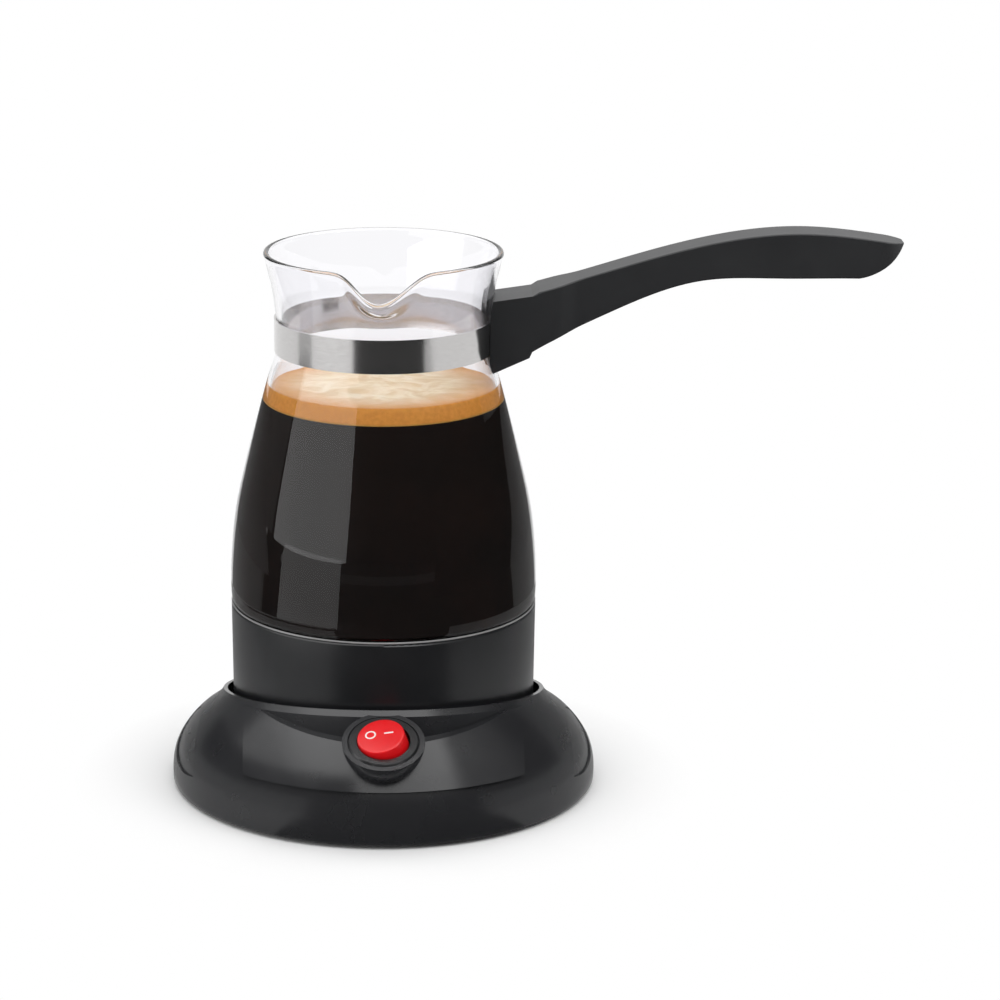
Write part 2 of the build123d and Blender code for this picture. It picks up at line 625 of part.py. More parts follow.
with BuildPart() as collar:
    with BuildSketch(Plane.XZ):
        with BuildLine():
            Polyline(
                (COLLAR_R - COLLAR_DRAFT, COLLAR_FOOT_Z),
                (COLLAR_R, COLLAR_TOP_Z),
                (COLLAR_IN_R, COLLAR_TOP_Z),
                (COLLAR_IN_R, LEDGE_TOP_Z),
                (COLLAR_IN_R - LEDGE_W, LEDGE_TOP_Z),
                (COLLAR_IN_R - LEDGE_W, LEDGE_TOP_Z - LEDGE_T),
                (COLLAR_IN_R, LEDGE_TOP_Z - LEDGE_T - LEDGE_W),
                (COLLAR_IN_R, COLLAR_FOOT_Z),
                close=True,
            )
        make_face()
    revolve(axis=Axis.Z)
    fillet(collar.edges().group_by(Axis.Z)[-1].sort_by(SortBy.RADIUS)[-1], radius=COLLAR_EDGE_FILLET)
    with BuildSketch(Plane.XY.offset(BOSS_FOOT_Z)):
        with JUG_BOSSES:
            Circle(BOSS_R)
        Circle(COLLAR_IN_R + COLLAR_WALL / 2, mode=Mode.INTERSECT)
    extrude(amount=JUG_BOSS_H)
    with BuildSketch(Plane.XY.offset(BOSS_FOOT_Z)):
        with JUG_BOSSES:
            Circle(SCREW_R + RUN)
    extrude(amount=JUG_BOSS_H - WALL, mode=Mode.SUBTRACT)
save(collar, "collar")

with BuildPart() as jug_floor:
    with BuildSketch(Plane.XY.offset(JUG_FLOOR_Z)):
        Circle(COLLAR_IN_R - SEAT)
        Circle(HUB_R + JUG_FLOOR_OPENING, mode=Mode.SUBTRACT)
        with JUG_BOSSES:
            Circle(SCREW_R + RUN, mode=Mode.SUBTRACT)
    extrude(amount=JUG_FLOOR_T)
    with BuildSketch(Plane.XY.offset(JUG_FLOOR_Z)):
        with JUG_BOSSES:
            Circle(SCREW_HEAD_R + SEAT)
    extrude(amount=SCREW_HEAD_H, mode=Mode.SUBTRACT)
save(jug_floor, "jug_floor")

with BuildPart() as jug_floor_screws:
    with JUG_BOSSES:
        add(pan_screw(Plane.XY.offset(JUG_FLOOR_Z + SCREW_HEAD_H), SCREW_L))
save(jug_floor_screws, "jug_floor_screws")

with BuildPart() as heating_plate:
    flange_r = COLLAR_IN_R - SEAT
    add(
        revolved(
            (
                (0, PLATE_Z),
                (PLATE_DISC_R - PLATE_T, PLATE_Z),
                (PLATE_DISC_R - PLATE_T, LEDGE_TOP_Z),
                (flange_r, LEDGE_TOP_Z),
                (flange_r, FLANGE_TOP_Z),
                (PLATE_DISC_R, FLANGE_TOP_Z),
                (PLATE_DISC_R, PLATE_Z + PLATE_T),
                (0, PLATE_Z + PLATE_T),
            )
        )
    )
save(heating_plate, "heating_plate")

with BuildPart() as glass_gasket:
    arm_out_r = SKIRT_R - GLASS_WALL - SEAT
    add(
        revolved(
            (
                (PLATE_DISC_R + SEAT, FLANGE_TOP_Z),
                (flange_r, FLANGE_TOP_Z),
                (flange_r, SKIRT_Z),
                (arm_out_r, SKIRT_Z),
                (arm_out_r, SKIRT_Z + GASKET_ARM_H),
                (PLATE_DISC_R + SEAT, SKIRT_Z + GASKET_ARM_H),
            )
        )
    )
save(glass_gasket, "glass_gasket")

PILLARS = PolarLocations(PILLAR_PITCH_R, 3, start_angle=PILLAR_START)
with BuildPart() as heat_spreader:
    with BuildSketch(Plane.XY.offset(SPREADER_Z)):
        Circle(SPREADER_R)
    extrude(amount=SPREADER_T)
    with BuildSketch(Plane.XY.offset(CONTROL_TOP_Z)):
        with PILLARS:
            Circle(PILLAR_R)
    extrude(amount=SPREADER_Z - CONTROL_TOP_Z)
    with BuildSketch(Plane.XY.offset(CONTROL_TOP_Z)):
        with PILLARS:
            Circle(SCREW_R + RUN)
    extrude(amount=SPREADER_Z - CONTROL_TOP_Z, mode=Mode.SUBTRACT)
save(heat_spreader, "heat_spreader")

with BuildPart() as heating_element:
    gap_half = ELEMENT_GAP_ANGLE / 2
    ring_start = Plane(
        origin=(ELEMENT_RING_R * cos(radians(gap_half)), ELEMENT_RING_R * sin(radians(gap_half)), 0),
        x_dir=(cos(radians(gap_half)), sin(radians(gap_half)), 0),
        z_dir=(sin(radians(gap_half)), -cos(radians(gap_half)), 0),
    )
    with BuildSketch(ring_start):
        with Locations((0, SPREADER_Z - ELEMENT_R)):
            Circle(ELEMENT_R)
    revolve(axis=Axis.Z, revolution_arc=360 - ELEMENT_GAP_ANGLE)
    tail_angle = gap_half + ELEMENT_GAP_ANGLE / 10
    tails = PolarLocations(ELEMENT_RING_R, 2, -tail_angle, 2 * tail_angle, endpoint=True)
    with BuildSketch(Plane.XY.offset(SPREADER_Z - ELEMENT_R - ELEMENT_TAIL_L)):
        with tails:
            Circle(ELEMENT_TAIL_R)
    extrude(amount=ELEMENT_TAIL_L)
save(heating_element, "heating_element")

with BuildPart() as thermostat:
    with BuildSketch(Plane.XY.offset(CONTROL_TOP_Z)):
        Circle(THERMOSTAT_R)
    extrude(amount=SPREADER_Z - CONTROL_TOP_Z)
    chamfer(thermostat.edges().group_by(Axis.Z)[-1], length=CONTROL_CHAMFER)
save(thermostat, "thermostat")

with BuildPart() as thermal_fuse:
    with BuildSketch(Plane.YZ.offset(-FUSE_L / 2)):
        with Locations((FUSE_Y, SPREADER_Z - FUSE_R)):
            Circle(FUSE_R)
    extrude(amount=FUSE_L)
    chamfer(thermal_fuse.edges().filter_by(GeomType.CIRCLE), length=FUSE_R / 4)
save(thermal_fuse, "thermal_fuse")

with BuildPart() as jug_control:
    with BuildSketch(Plane.XY.offset(CONTROL_Z)):
        Circle(CONTROL_R)
    extrude(amount=CONTROL_H)
    chamfer(jug_control.edges(), length=CONTROL_CHAMFER)
    with BuildSketch(Plane.XY.offset(CONTROL_Z)):
        with PILLARS:
            Circle(SCREW_R + RUN)
    extrude(amount=CONTROL_H, mode=Mode.SUBTRACT)
    with BuildSketch(Plane.XY.offset(CONTROL_Z)):
        with PILLARS:
            Circle(SCREW_HEAD_R + SEAT)
    extrude(amount=SCREW_HEAD_H, mode=Mode.SUBTRACT)
save(jug_control, "jug_control")

with BuildPart() as control_screws:
    with PILLARS:
        add(pan_screw(Plane.XY.offset(CONTROL_Z + SCREW_HEAD_H), CONTROL_SCREW_L))
save(control_screws, "control_screws")

PIN_R = SOCKET_R - CONTACT_T - FREE
JUG_RING_IN_R = SLOT_IN_R + CONTACT_T + FREE
with BuildPart() as jug_contacts:
    with BuildSketch(Plane.XY.offset(PIN_BOTTOM_Z)):
        Circle(PIN_R)
    extrude(amount=CONTROL_Z - PIN_BOTTOM_Z)
    fillet(jug_contacts.edges().sort_by(Axis.Z)[0], radius=PIN_R / 2)
    with BuildSketch(Plane.XY.offset(PIN_BOTTOM_Z)):
        Circle(JUG_RING_IN_R + CONTACT_T)
        Circle(JUG_RING_IN_R, mode=Mode.SUBTRACT)
    extrude(amount=CONTROL_Z - PIN_BOTTOM_Z)
save(jug_contacts, "jug_contacts")

# ================================================================ base housing
def tilted_below(height):
    """Everything under the tilted plane at a height on the axis."""
    with BuildPart() as form:
        with BuildSketch(tilted_plane(height)):
            Rectangle(2 * REACH, 2 * REACH)
        extrude(amount=-REACH)
    return form.part


def bell(inset=0.0):
    """The housing's bell-shaped outer form, moved in by inset."""
    rings = [(radius - inset, height - inset, share) for radius, height, share in BELL_RINGS]
    return ring_loft(rings)


SWITCH_PLANE = Plane(
    origin=(0, SWITCH_Y, SWITCH_Z),
    x_dir=(1, 0, 0),
    z_dir=(0, -sin(radians(SWITCH_TILT)), cos(radians(SWITCH_TILT))),
)
POD_TOP = -BEZEL_PROUD

PANEL_CREASE = (PANEL_CREASE_R, PANEL_CREASE_Z, 0.0)
PANEL_CROWN = (PANEL_CREASE_R - PANEL_CROWN_IN, PANEL_CREASE_Z + PANEL_CROWN_RISE, PANEL_CROWN_TILT)
with BuildPart() as front_panel:
    add(ring_loft(((PANEL_FOOT_R, EDGE_Z, 0.0), PANEL_CREASE), ruled=True))
    add(ring_loft((PANEL_CREASE, PANEL_CROWN, (PANEL_TOP_R, LIP_BOTTOM_Z, 1.0))))
    with BuildSketch(Plane.XY):
        Rectangle(2 * PANEL_HALF_W, REACH, align=(Align.CENTER, Align.MAX))
    extrude(amount=REACH, mode=Mode.INTERSECT)

with BuildPart() as scoop:
    with BuildSketch(Plane.XZ):
        with BuildLine():
            arc_top = SCOOP_LOW_Z + SCOOP_ARC_R - sqrt(SCOOP_ARC_R**2 - SCOOP_HALF_W**2)
            ThreePointArc((-SCOOP_HALF_W, arc_top), (0, SCOOP_LOW_Z), (SCOOP_HALF_W, arc_top))
            Line((SCOOP_HALF_W, arc_top), (SCOOP_HALF_W, REACH))
            Line((SCOOP_HALF_W, REACH), (-SCOOP_HALF_W, REACH))
            Line((-SCOOP_HALF_W, REACH), (-SCOOP_HALF_W, arc_top))
        make_face()
    extrude(amount=REACH)
    add(tilted_below(LIP_BOTTOM_Z), mode=Mode.INTERSECT)
    scoop_foot_z = SCOOP_LOW_Z - RIM_SLOPE * SCOOP_FOOT_R
    add(
        ring_loft(((SCOOP_FOOT_R, scoop_foot_z, 1.0), (LIP_R, LIP_BOTTOM_Z, 1.0)), ruled=True),
        mode=Mode.SUBTRACT,
    )
    add(tube(WELL_WALL_R, 0, 0, REACH), mode=Mode.SUBTRACT)

with BuildPart() as finger_pads:
    pad_plane = Plane(
        origin=(0, 0, 0),
        x_dir=(sin(radians(PAD_AZIMUTH)), cos(radians(PAD_AZIMUTH)), 0),
        z_dir=(cos(radians(PAD_AZIMUTH)), -sin(radians(PAD_AZIMUTH)), 0),
    )
    with BuildSketch(pad_plane):
        with BuildLine():
            ThreePointArc(PAD_FRONT, PAD_CREST, PAD_BACK)
            ThreePointArc(PAD_BACK, PAD_SAG, PAD_FRONT)
        make_face()
    extrude(amount=REACH)
    mirror(about=Plane.YZ)
    add(bell(PAD_DEPTH).moved(Location((0, PAD_SLANT, 0))), mode=Mode.SUBTRACT)

with BuildPart() as switch_pod:
    with BuildPart(SWITCH_PLANE):
        Sphere(POD_R)
    with BuildSketch(SWITCH_PLANE.offset(POD_TOP)):
        Circle(2 * POD_R)
    extrude(amount=2 * POD_R, mode=Mode.SUBTRACT)

BARREL_IN_R = ROCKER_R + FREE
BARREL_R = BARREL_IN_R + BARREL_WALL
CUP_IN_R = BARREL_IN_R - SEAT
DECK_TOP = -BEZEL_T
GLAND_SEAT_Y = GLAND_OUT_Y - GLAND_FLANGE_T
FLOOR_TOP_Z = FLOOR_Z + FLOOR_T
FLOOR_PAD_Z = FLOOR_TOP_Z + FLOOR_PAD_H
FLOOR_SCREWS = [
    (side * FLOOR_SCREW_PITCH_R * cos(radians(angle)), FLOOR_SCREW_PITCH_R * sin(radians(angle)))
    for side in (1, -1)
    for angle in (FLOOR_SCREW_ANGLE, -FLOOR_SCREW_ANGLE)
]
HUB_FLANGE_Z = WELL_UNDERSIDE_Z - HUB_FLANGE_T
CLAMP_Z = GLAND_Z - CLAMP_T
TAG_PITCH_R = SLOT_IN_R + CONTACT_T + TAG_R / 2
PIVOT = SWITCH_PLANE.from_local_coords((0, 0, -ROCKER_DEPTH))
PIVOT_PLANE = Plane(origin=PIVOT, x_dir=(1, 0, 0), z_dir=SWITCH_PLANE.y_dir)
ROCKER_PLANE = Plane(
    origin=PIVOT,
    x_dir=SWITCH_PLANE.x_dir.rotate(Axis((0, 0, 0), SWITCH_PLANE.y_dir), -ROCKER_TILT),
    z_dir=SWITCH_PLANE.z_dir.rotate(Axis((0, 0, 0), SWITCH_PLANE.y_dir), -ROCKER_TILT),
)


def gland_plane(y):
    """Upright plane across the gland, facing the back."""
    return Plane(origin=(0, y, GLAND_Z), x_dir=(1, 0, 0), z_dir=(0, 1, 0))


with BuildPart() as outer_form:
    add(bell())
    add(front_panel.part)
    add(scoop.part, mode=Mode.SUBTRACT)
    add(finger_pads.part, mode=Mode.SUBTRACT)
    add(switch_pod.part)
    with BuildSketch(gland_plane(CLAMP_Y)):
        Circle(GLAND_FLANGE_R + SEAT + GLAND_LEDGE)
    extrude(amount=GLAND_SEAT_Y - CLAMP_Y)

with BuildPart() as floor_bosses:
    with BuildSketch(Plane.XY.offset(FLOOR_PAD_Z)):
        with Locations(*FLOOR_SCREWS):
            Circle(BOSS_R)
    extrude(amount=REACH)
    add(bell(WALL / 2), mode=Mode.INTERSECT)

with BuildPart() as pod_hollow:
    with BuildPart(SWITCH_PLANE):
        Sphere(POD_R - POD_WALL)
    with BuildSketch(SWITCH_PLANE.offset(DECK_TOP - DECK_T)):
        Circle(2 * POD_R)
    extrude(amount=2 * POD_R, mode=Mode.SUBTRACT)

with BuildPart() as scoop_backing:
    with BuildSketch(Plane.XY):
        Rectangle(2 * (PANEL_HALF_W + WALL), REACH, align=(Align.CENTER, Align.MAX))
    extrude(amount=REACH)
    add(tilted_below(CAVITY_TOP_Z), mode=Mode.SUBTRACT)

with BuildPart() as cavity:
    add(bell(WALL))
    add(scoop_backing.part, mode=Mode.SUBTRACT)
    add(pod_hollow.part)
    add(tube(WELL_WALL_R, 0, WELL_UNDERSIDE_Z, REACH), mode=Mode.SUBTRACT)

with BuildPart() as base_housing:
    add(outer_form.part)
    add(cavity.part, mode=Mode.SUBTRACT)
    with BuildSketch(Plane.XY.offset(WELL_FLOOR_Z)):
        Circle(WELL_R)
    extrude(amount=REACH, mode=Mode.SUBTRACT)
    with BuildSketch(Plane.XY.offset(WELL_UNDERSIDE_Z)):
        Circle(HUB_R + SEAT)
    extrude(amount=REACH, mode=Mode.SUBTRACT)
    with BuildSketch(SWITCH_PLANE.offset(DECK_TOP)):
        Circle(BEZEL_R + SEAT)
    extrude(amount=POD_R, mode=Mode.SUBTRACT)
    with BuildSketch(SWITCH_PLANE.offset(DECK_TOP)):
        Circle(BARREL_R + SEAT)
    extrude(amount=-2 * DECK_T, mode=Mode.SUBTRACT)
    with BuildSketch(gland_plane(GLAND_SEAT_Y)):
        Circle(GLAND_FLANGE_R + SEAT)
    extrude(amount=2 * GLAND_FLANGE_T, mode=Mode.SUBTRACT)
    with BuildSketch(gland_plane(CLAMP_Y)):
        Circle(GLAND_R + SEAT)
    extrude(amount=REACH, mode=Mode.SUBTRACT)
    add(floor_bosses.part)
    with BuildSketch(Plane.XY.offset(FLOOR_PAD_Z)):
        with Locations(*FLOOR_SCREWS):
            Circle(SCREW_R + RUN)
    extrude(amount=SCREW_L, mode=Mode.SUBTRACT)
save(base_housing, "base_housing")

# ================================================================ base plate and what stands on it
with BuildPart() as base_floor:
    with BuildSketch(Plane.XY.offset(FLOOR_Z)):
        Circle(BASE_R - WALL - FLOOR_SIDE_GAP)
    extrude(amount=FLOOR_T)
    with BuildSketch(Plane.XY.offset(FLOOR_TOP_Z)):
        with Locations(*FLOOR_SCREWS):
            Circle(FLOOR_PAD_R)
    extrude(amount=FLOOR_PAD_H)
    with BuildSketch(Plane.XY.offset(FLOOR_Z)):
        with Locations(*FLOOR_SCREWS):
            Circle(SCREW_HEAD_R + SEAT)
    extrude(amount=FLOOR_SCREW_SINK, mode=Mode.SUBTRACT)
    with BuildSketch(Plane.XY.offset(FLOOR_Z)):
        with Locations(*FLOOR_SCREWS):
            Circle(SCREW_R + RUN)
    extrude(amount=FLOOR_T + FLOOR_PAD_H, mode=Mode.SUBTRACT)
    with BuildSketch(Plane.XY.offset(FLOOR_Z)):
        Circle(FOOT_OUT_R + FOOT_GAP)
        Circle(FOOT_IN_R - FOOT_GAP, mode=Mode.SUBTRACT)
    extrude(amount=FOOT_SINK, mode=Mode.SUBTRACT)
    with BuildSketch(Plane.XY.offset(FLOOR_TOP_Z)):
        Circle(HOLD_RING_R)
        Circle(HOLD_RING_R - HOLD_RING_W, mode=Mode.SUBTRACT)
    extrude(amount=HUB_FLANGE_Z - FLOOR_TOP_Z)
    with BuildSketch(Plane.XY.offset(FLOOR_TOP_Z)):
        with Locations((0, CLAMP_Y)):
            Rectangle(CLAMP_W, CLAMP_D)
    extrude(amount=CLAMP_Z - FLOOR_TOP_Z)
    with BuildSketch(Plane.XY.offset(FLOOR_TOP_Z - FLOOR_T / 2)):
        with Locations((CLAMP_SCREW_X, CLAMP_Y), (-CLAMP_SCREW_X, CLAMP_Y)):
            Circle(SCREW_R + RUN)
    extrude(amount=CLAMP_Z - FLOOR_Z, mode=Mode.SUBTRACT)
    with BuildSketch(gland_plane(CLAMP_Y - CLAMP_D)):
        Circle(GLAND_BORE_R)
    extrude(amount=2 * CLAMP_D, mode=Mode.SUBTRACT)
save(base_floor, "base_floor")

with BuildPart() as base_floor_screws:
    with Locations(*[Location((x, y, 0)) for x, y in FLOOR_SCREWS]):
        add(pan_screw(Plane.XY.offset(FLOOR_Z + FLOOR_SCREW_SINK), SCREW_L))
save(base_floor_screws, "base_floor_screws")

with BuildPart() as foot_ring:
    with BuildSketch(Plane.XY):
        Circle(FOOT_OUT_R)
        Circle(FOOT_IN_R, mode=Mode.SUBTRACT)
    extrude(amount=FLOOR_Z + FOOT_SINK)
    chamfer(foot_ring.edges().group_by(Axis.Z)[0], length=FOOT_CHAMFER)
save(foot_ring, "foot_ring")

with BuildPart() as base_hub:
    with BuildSketch(Plane.XY.offset(HUB_FLANGE_Z)):
        Circle(HUB_FLANGE_R)
    extrude(amount=HUB_FLANGE_T)
    with BuildSketch(Plane.XY.offset(WELL_UNDERSIDE_Z)):
        Circle(HUB_R)
    extrude(amount=HUB_TOP_Z - WELL_UNDERSIDE_Z)
    chamfer(base_hub.edges().group_by(Axis.Z)[-1], length=HUB_CHAMFER)
    with BuildSketch(Plane.XY.offset(SLOT_FLOOR_Z)):
        Circle(SLOT_OUT_R)
        Circle(SLOT_IN_R, mode=Mode.SUBTRACT)
        Circle(SOCKET_R)
    extrude(amount=HUB_TOP_Z - SLOT_FLOOR_Z, mode=Mode.SUBTRACT)
    with BuildSketch(Plane.XY.offset(HUB_FLANGE_Z)):
        with Locations((0, 0), (TAG_PITCH_R, 0)):
            Circle(TAG_R + RUN)
    extrude(amount=HUB_FLANGE_T, mode=Mode.SUBTRACT)
save(base_hub, "base_hub")

with BuildPart() as base_contacts:
    with BuildSketch(Plane.XY.offset(SLOT_FLOOR_Z)):
        Circle(SOCKET_R)
        Circle(SLOT_IN_R + CONTACT_T)
        Circle(SLOT_IN_R, mode=Mode.SUBTRACT)
        Circle(SOCKET_R)
    extrude(amount=CONTACT_H)
    with BuildSketch(Plane.XY.offset(SLOT_FLOOR_Z + CONTACT_T)):
        Circle(SOCKET_R - CONTACT_T)
    extrude(amount=CONTACT_H, mode=Mode.SUBTRACT)
    with BuildSketch(Plane.XY.offset(SLOT_FLOOR_Z + CONTACT_T)):
        with Locations((0, 0), (TAG_PITCH_R, 0)):
            Circle(TAG_R)
    extrude(amount=-TAG_L)
save(base_contacts, "base_contacts")

with BuildPart() as cord_gland:
    with BuildSketch(gland_plane(GLAND_OUT_Y - GLAND_L)):
        Circle(GLAND_R)
    extrude(amount=GLAND_L)
    with BuildSketch(gland_plane(GLAND_SEAT_Y)):
        Circle(GLAND_FLANGE_R)
    extrude(amount=GLAND_FLANGE_T)
    fillet(cord_gland.edges().filter_by(GeomType.CIRCLE).sort_by(Axis.Y)[-1], radius=GLAND_FLANGE_T / 2)
    with BuildSketch(gland_plane(GLAND_OUT_Y - GLAND_L)):
        Circle(GLAND_BORE_R)
    extrude(amount=GLAND_L, mode=Mode.SUBTRACT)
save(cord_gland, "cord_gland")

with BuildPart() as cord_clamp:
    with BuildSketch(gland_plane(CLAMP_Y - CLAMP_D / 2)):
        Circle(GLAND_BORE_R + CLAMP_ARCH_T)
        with Locations((0, CLAMP_T / 2)):
            Rectangle(CLAMP_W, CLAMP_T)
        with Locations((0, CLAMP_T)):
            Rectangle(CLAMP_W, REACH, align=(Align.CENTER, Align.MIN), mode=Mode.SUBTRACT)
        Circle(GLAND_BORE_R, mode=Mode.SUBTRACT)
    extrude(amount=CLAMP_D)
    with BuildSketch(Plane.XY.offset(CLAMP_Z)):
        with Locations((CLAMP_SCREW_X, CLAMP_Y), (-CLAMP_SCREW_X, CLAMP_Y)):
            Circle(SCREW_R + RUN)
    extrude(amount=CLAMP_T, mode=Mode.SUBTRACT)
save(cord_clamp, "cord_clamp")

with BuildPart() as cord_clamp_screws:
    down = Plane(origin=(0, CLAMP_Y, GLAND_Z), x_dir=(1, 0, 0), z_dir=(0, 0, -1))
    with Locations(*[Location((x, 0, 0)) for x in (CLAMP_SCREW_X, -CLAMP_SCREW_X)]):
        add(pan_screw(down, CLAMP_SCREW_L))
save(cord_clamp_screws, "cord_clamp_screws")

with BuildPart() as terminal_block:
    with BuildSketch(Plane.XY.offset(FLOOR_TOP_Z)):
        with Locations((BLOCK_X, BLOCK_Y)):
            Rectangle(BLOCK_L, BLOCK_D)
    extrude(amount=BLOCK_H)
    chamfer(terminal_block.edges().filter_by(Axis.Z), length=BLOCK_CHAMFER)
    with BuildSketch(Plane.XZ.offset(-BLOCK_Y - BLOCK_D)):
        with Locations((BLOCK_X, FLOOR_TOP_Z + BLOCK_H / 2)):
            with GridLocations(BLOCK_PITCH, 0, 3, 1):
                Circle(BLOCK_HOLE_R)
    extrude(amount=2 * BLOCK_D, mode=Mode.SUBTRACT)
save(terminal_block, "terminal_block")

# ================================================================ switch
with BuildPart() as switch_body:
    add(
        revolved(
            (
                (BARREL_IN_R, 0),
                (BEZEL_R - BEZEL_CHAMFER, 0),
                (BEZEL_R, -BEZEL_CHAMFER),
                (BEZEL_R, -BEZEL_T),
                (BARREL_R, -BEZEL_T),
                (BARREL_R, -BARREL_DEPTH),
                (CUP_IN_R + CUP_WALL, -BARREL_DEPTH),
                (CUP_IN_R + CUP_WALL, -CUP_DEPTH),
                (CUP_IN_R, -CUP_DEPTH - SWITCH_FLOOR),
                (0, -CUP_DEPTH - SWITCH_FLOOR),
                (0, -CUP_DEPTH),
                (CUP_IN_R, -CUP_DEPTH),
                (CUP_IN_R, -BARREL_DEPTH),
                (BARREL_IN_R, -BARREL_DEPTH),
            ),
            Plane(origin=SWITCH_PLANE.origin, x_dir=(1, 0, 0), z_dir=-SWITCH_PLANE.y_dir),
            Axis(SWITCH_PLANE.origin, SWITCH_PLANE.z_dir),
        )
    )
    with BuildSketch(PIVOT_PLANE.offset(-BARREL_R)):
        Circle(PIVOT_R + RUN)
    extrude(amount=2 * BARREL_R, mode=Mode.SUBTRACT)
save(switch_body, "switch_body")

with BuildPart() as switch_terminals:
    with BuildSketch(SWITCH_PLANE.offset(-CUP_DEPTH - SWITCH_FLOOR)):
        with GridLocations(TERMINAL_PITCH, 0, 3, 1):
            Rectangle(TERMINAL_W, TERMINAL_T)
    extrude(amount=-TERMINAL_L)
save(switch_terminals, "switch_terminals")

with BuildPart() as switch_rocker:
    add(
        revolved(
            (
                (0, ROCKER_TOP),
                (ROCKER_FACE_R, ROCKER_TOP),
                (ROCKER_R, 0),
                (ROCKER_SKIRT_R, -ROCKER_SKIRT),
                (0, -ROCKER_SKIRT),
            ),
            Plane(origin=PIVOT, x_dir=ROCKER_PLANE.x_dir, z_dir=-ROCKER_PLANE.y_dir),
            Axis(PIVOT, ROCKER_PLANE.z_dir),
        )
    )
    face_edge = switch_rocker.edges().sort_by(lambda e: ROCKER_PLANE.to_local_coords(e.center()).Z)[-1]
    fillet(face_edge, radius=ROCKER_FILLET)
    with BuildSketch(ROCKER_PLANE.offset(-ROCKER_SKIRT)):
        Circle(ROCKER_FACE_R - ROCKER_WALL)
    extrude(amount=ROCKER_SKIRT + ROCKER_TOP - ROCKER_WALL, mode=Mode.SUBTRACT)
    with BuildSketch(PIVOT_PLANE.offset(ROCKER_R - ROCKER_WALL)):
        Circle(PIVOT_R)
    extrude(amount=PIVOT_REACH - ROCKER_R + ROCKER_WALL)
    with BuildSketch(PIVOT_PLANE.offset(ROCKER_WALL - ROCKER_R)):
        Circle(PIVOT_R)
    extrude(amount=ROCKER_R - ROCKER_WALL - PIVOT_REACH)
save(switch_rocker, "switch_rocker")
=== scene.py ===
import json
from math import atan2, cos, degrees, hypot, radians, sin

import bpy
from mathutils import Matrix, Vector


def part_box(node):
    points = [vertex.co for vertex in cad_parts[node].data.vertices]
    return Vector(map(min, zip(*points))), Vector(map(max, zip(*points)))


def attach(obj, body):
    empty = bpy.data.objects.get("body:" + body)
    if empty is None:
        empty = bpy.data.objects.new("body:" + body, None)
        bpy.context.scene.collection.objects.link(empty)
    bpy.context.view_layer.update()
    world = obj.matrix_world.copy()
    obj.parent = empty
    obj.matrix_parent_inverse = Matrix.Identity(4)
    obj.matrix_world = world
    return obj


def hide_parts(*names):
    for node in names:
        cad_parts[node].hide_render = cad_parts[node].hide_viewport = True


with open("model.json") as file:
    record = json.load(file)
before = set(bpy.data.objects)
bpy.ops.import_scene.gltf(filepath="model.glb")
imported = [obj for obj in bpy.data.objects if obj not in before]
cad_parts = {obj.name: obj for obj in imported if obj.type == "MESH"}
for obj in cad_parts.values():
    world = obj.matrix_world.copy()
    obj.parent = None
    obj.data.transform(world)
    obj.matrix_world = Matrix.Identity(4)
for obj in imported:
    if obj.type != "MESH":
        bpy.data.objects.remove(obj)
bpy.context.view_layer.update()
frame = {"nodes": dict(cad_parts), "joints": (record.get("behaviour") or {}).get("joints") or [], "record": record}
nodes = frame["nodes"]
joints = {joint["name"]: joint for joint in frame["joints"]}
MM = 0.001
SAME_POINT = 0.02  # points of an outline nearer than this, in mm, are one


# ------------------------------------------------------------------ camera
CAMERA_AT = (0.0, -1.093, 0.400)
CAMERA_DIP = 15.59
CAMERA_LENS = 124.92
CAMERA_SHIFT = 0.1165


def set_camera():
    lens = bpy.data.cameras.new("studio_camera")
    lens.sensor_width = 36.0
    lens.lens = CAMERA_LENS
    lens.shift_x = CAMERA_SHIFT
    lens.clip_start = 0.05
    camera = bpy.data.objects.new("studio_camera", lens)
    camera.location = CAMERA_AT
    camera.rotation_euler = (radians(90 - CAMERA_DIP), 0.0, 0.0)
    bpy.context.scene.collection.objects.link(camera)
    bpy.context.scene.camera = camera


set_camera()


# ------------------------------------------------------------------ bench work
def deselect():
    if bpy.context.object and bpy.context.object.mode != "OBJECT":
        bpy.ops.object.mode_set(mode="OBJECT")
    bpy.ops.object.select_all(action="DESELECT")


def take_up(piece):
    deselect()
    piece.select_set(True)
    bpy.context.view_layer.objects.active = piece


def pick_points(piece, keep):
    """Select the points of a piece that a rule keeps, and leave it in edit mode."""
    bpy.ops.object.mode_set(mode="EDIT")
    bpy.ops.mesh.select_mode(type="VERT")
    bpy.ops.mesh.select_all(action="DESELECT")
    bpy.ops.object.mode_set(mode="OBJECT")
    for point in piece.data.vertices:
        point.select = bool(keep(point.co))
    bpy.ops.object.mode_set(mode="EDIT")


def name_piece(name):
    piece = bpy.context.object
    piece.name = piece.data.name = name
    bpy.ops.object.transform_apply(location=True, rotation=True, scale=True)
    return piece


def face_outwards():
    bpy.ops.mesh.select_all(action="SELECT")
    bpy.ops.mesh.normals_make_consistent(inside=False)
    bpy.ops.object.mode_set(mode="OBJECT")


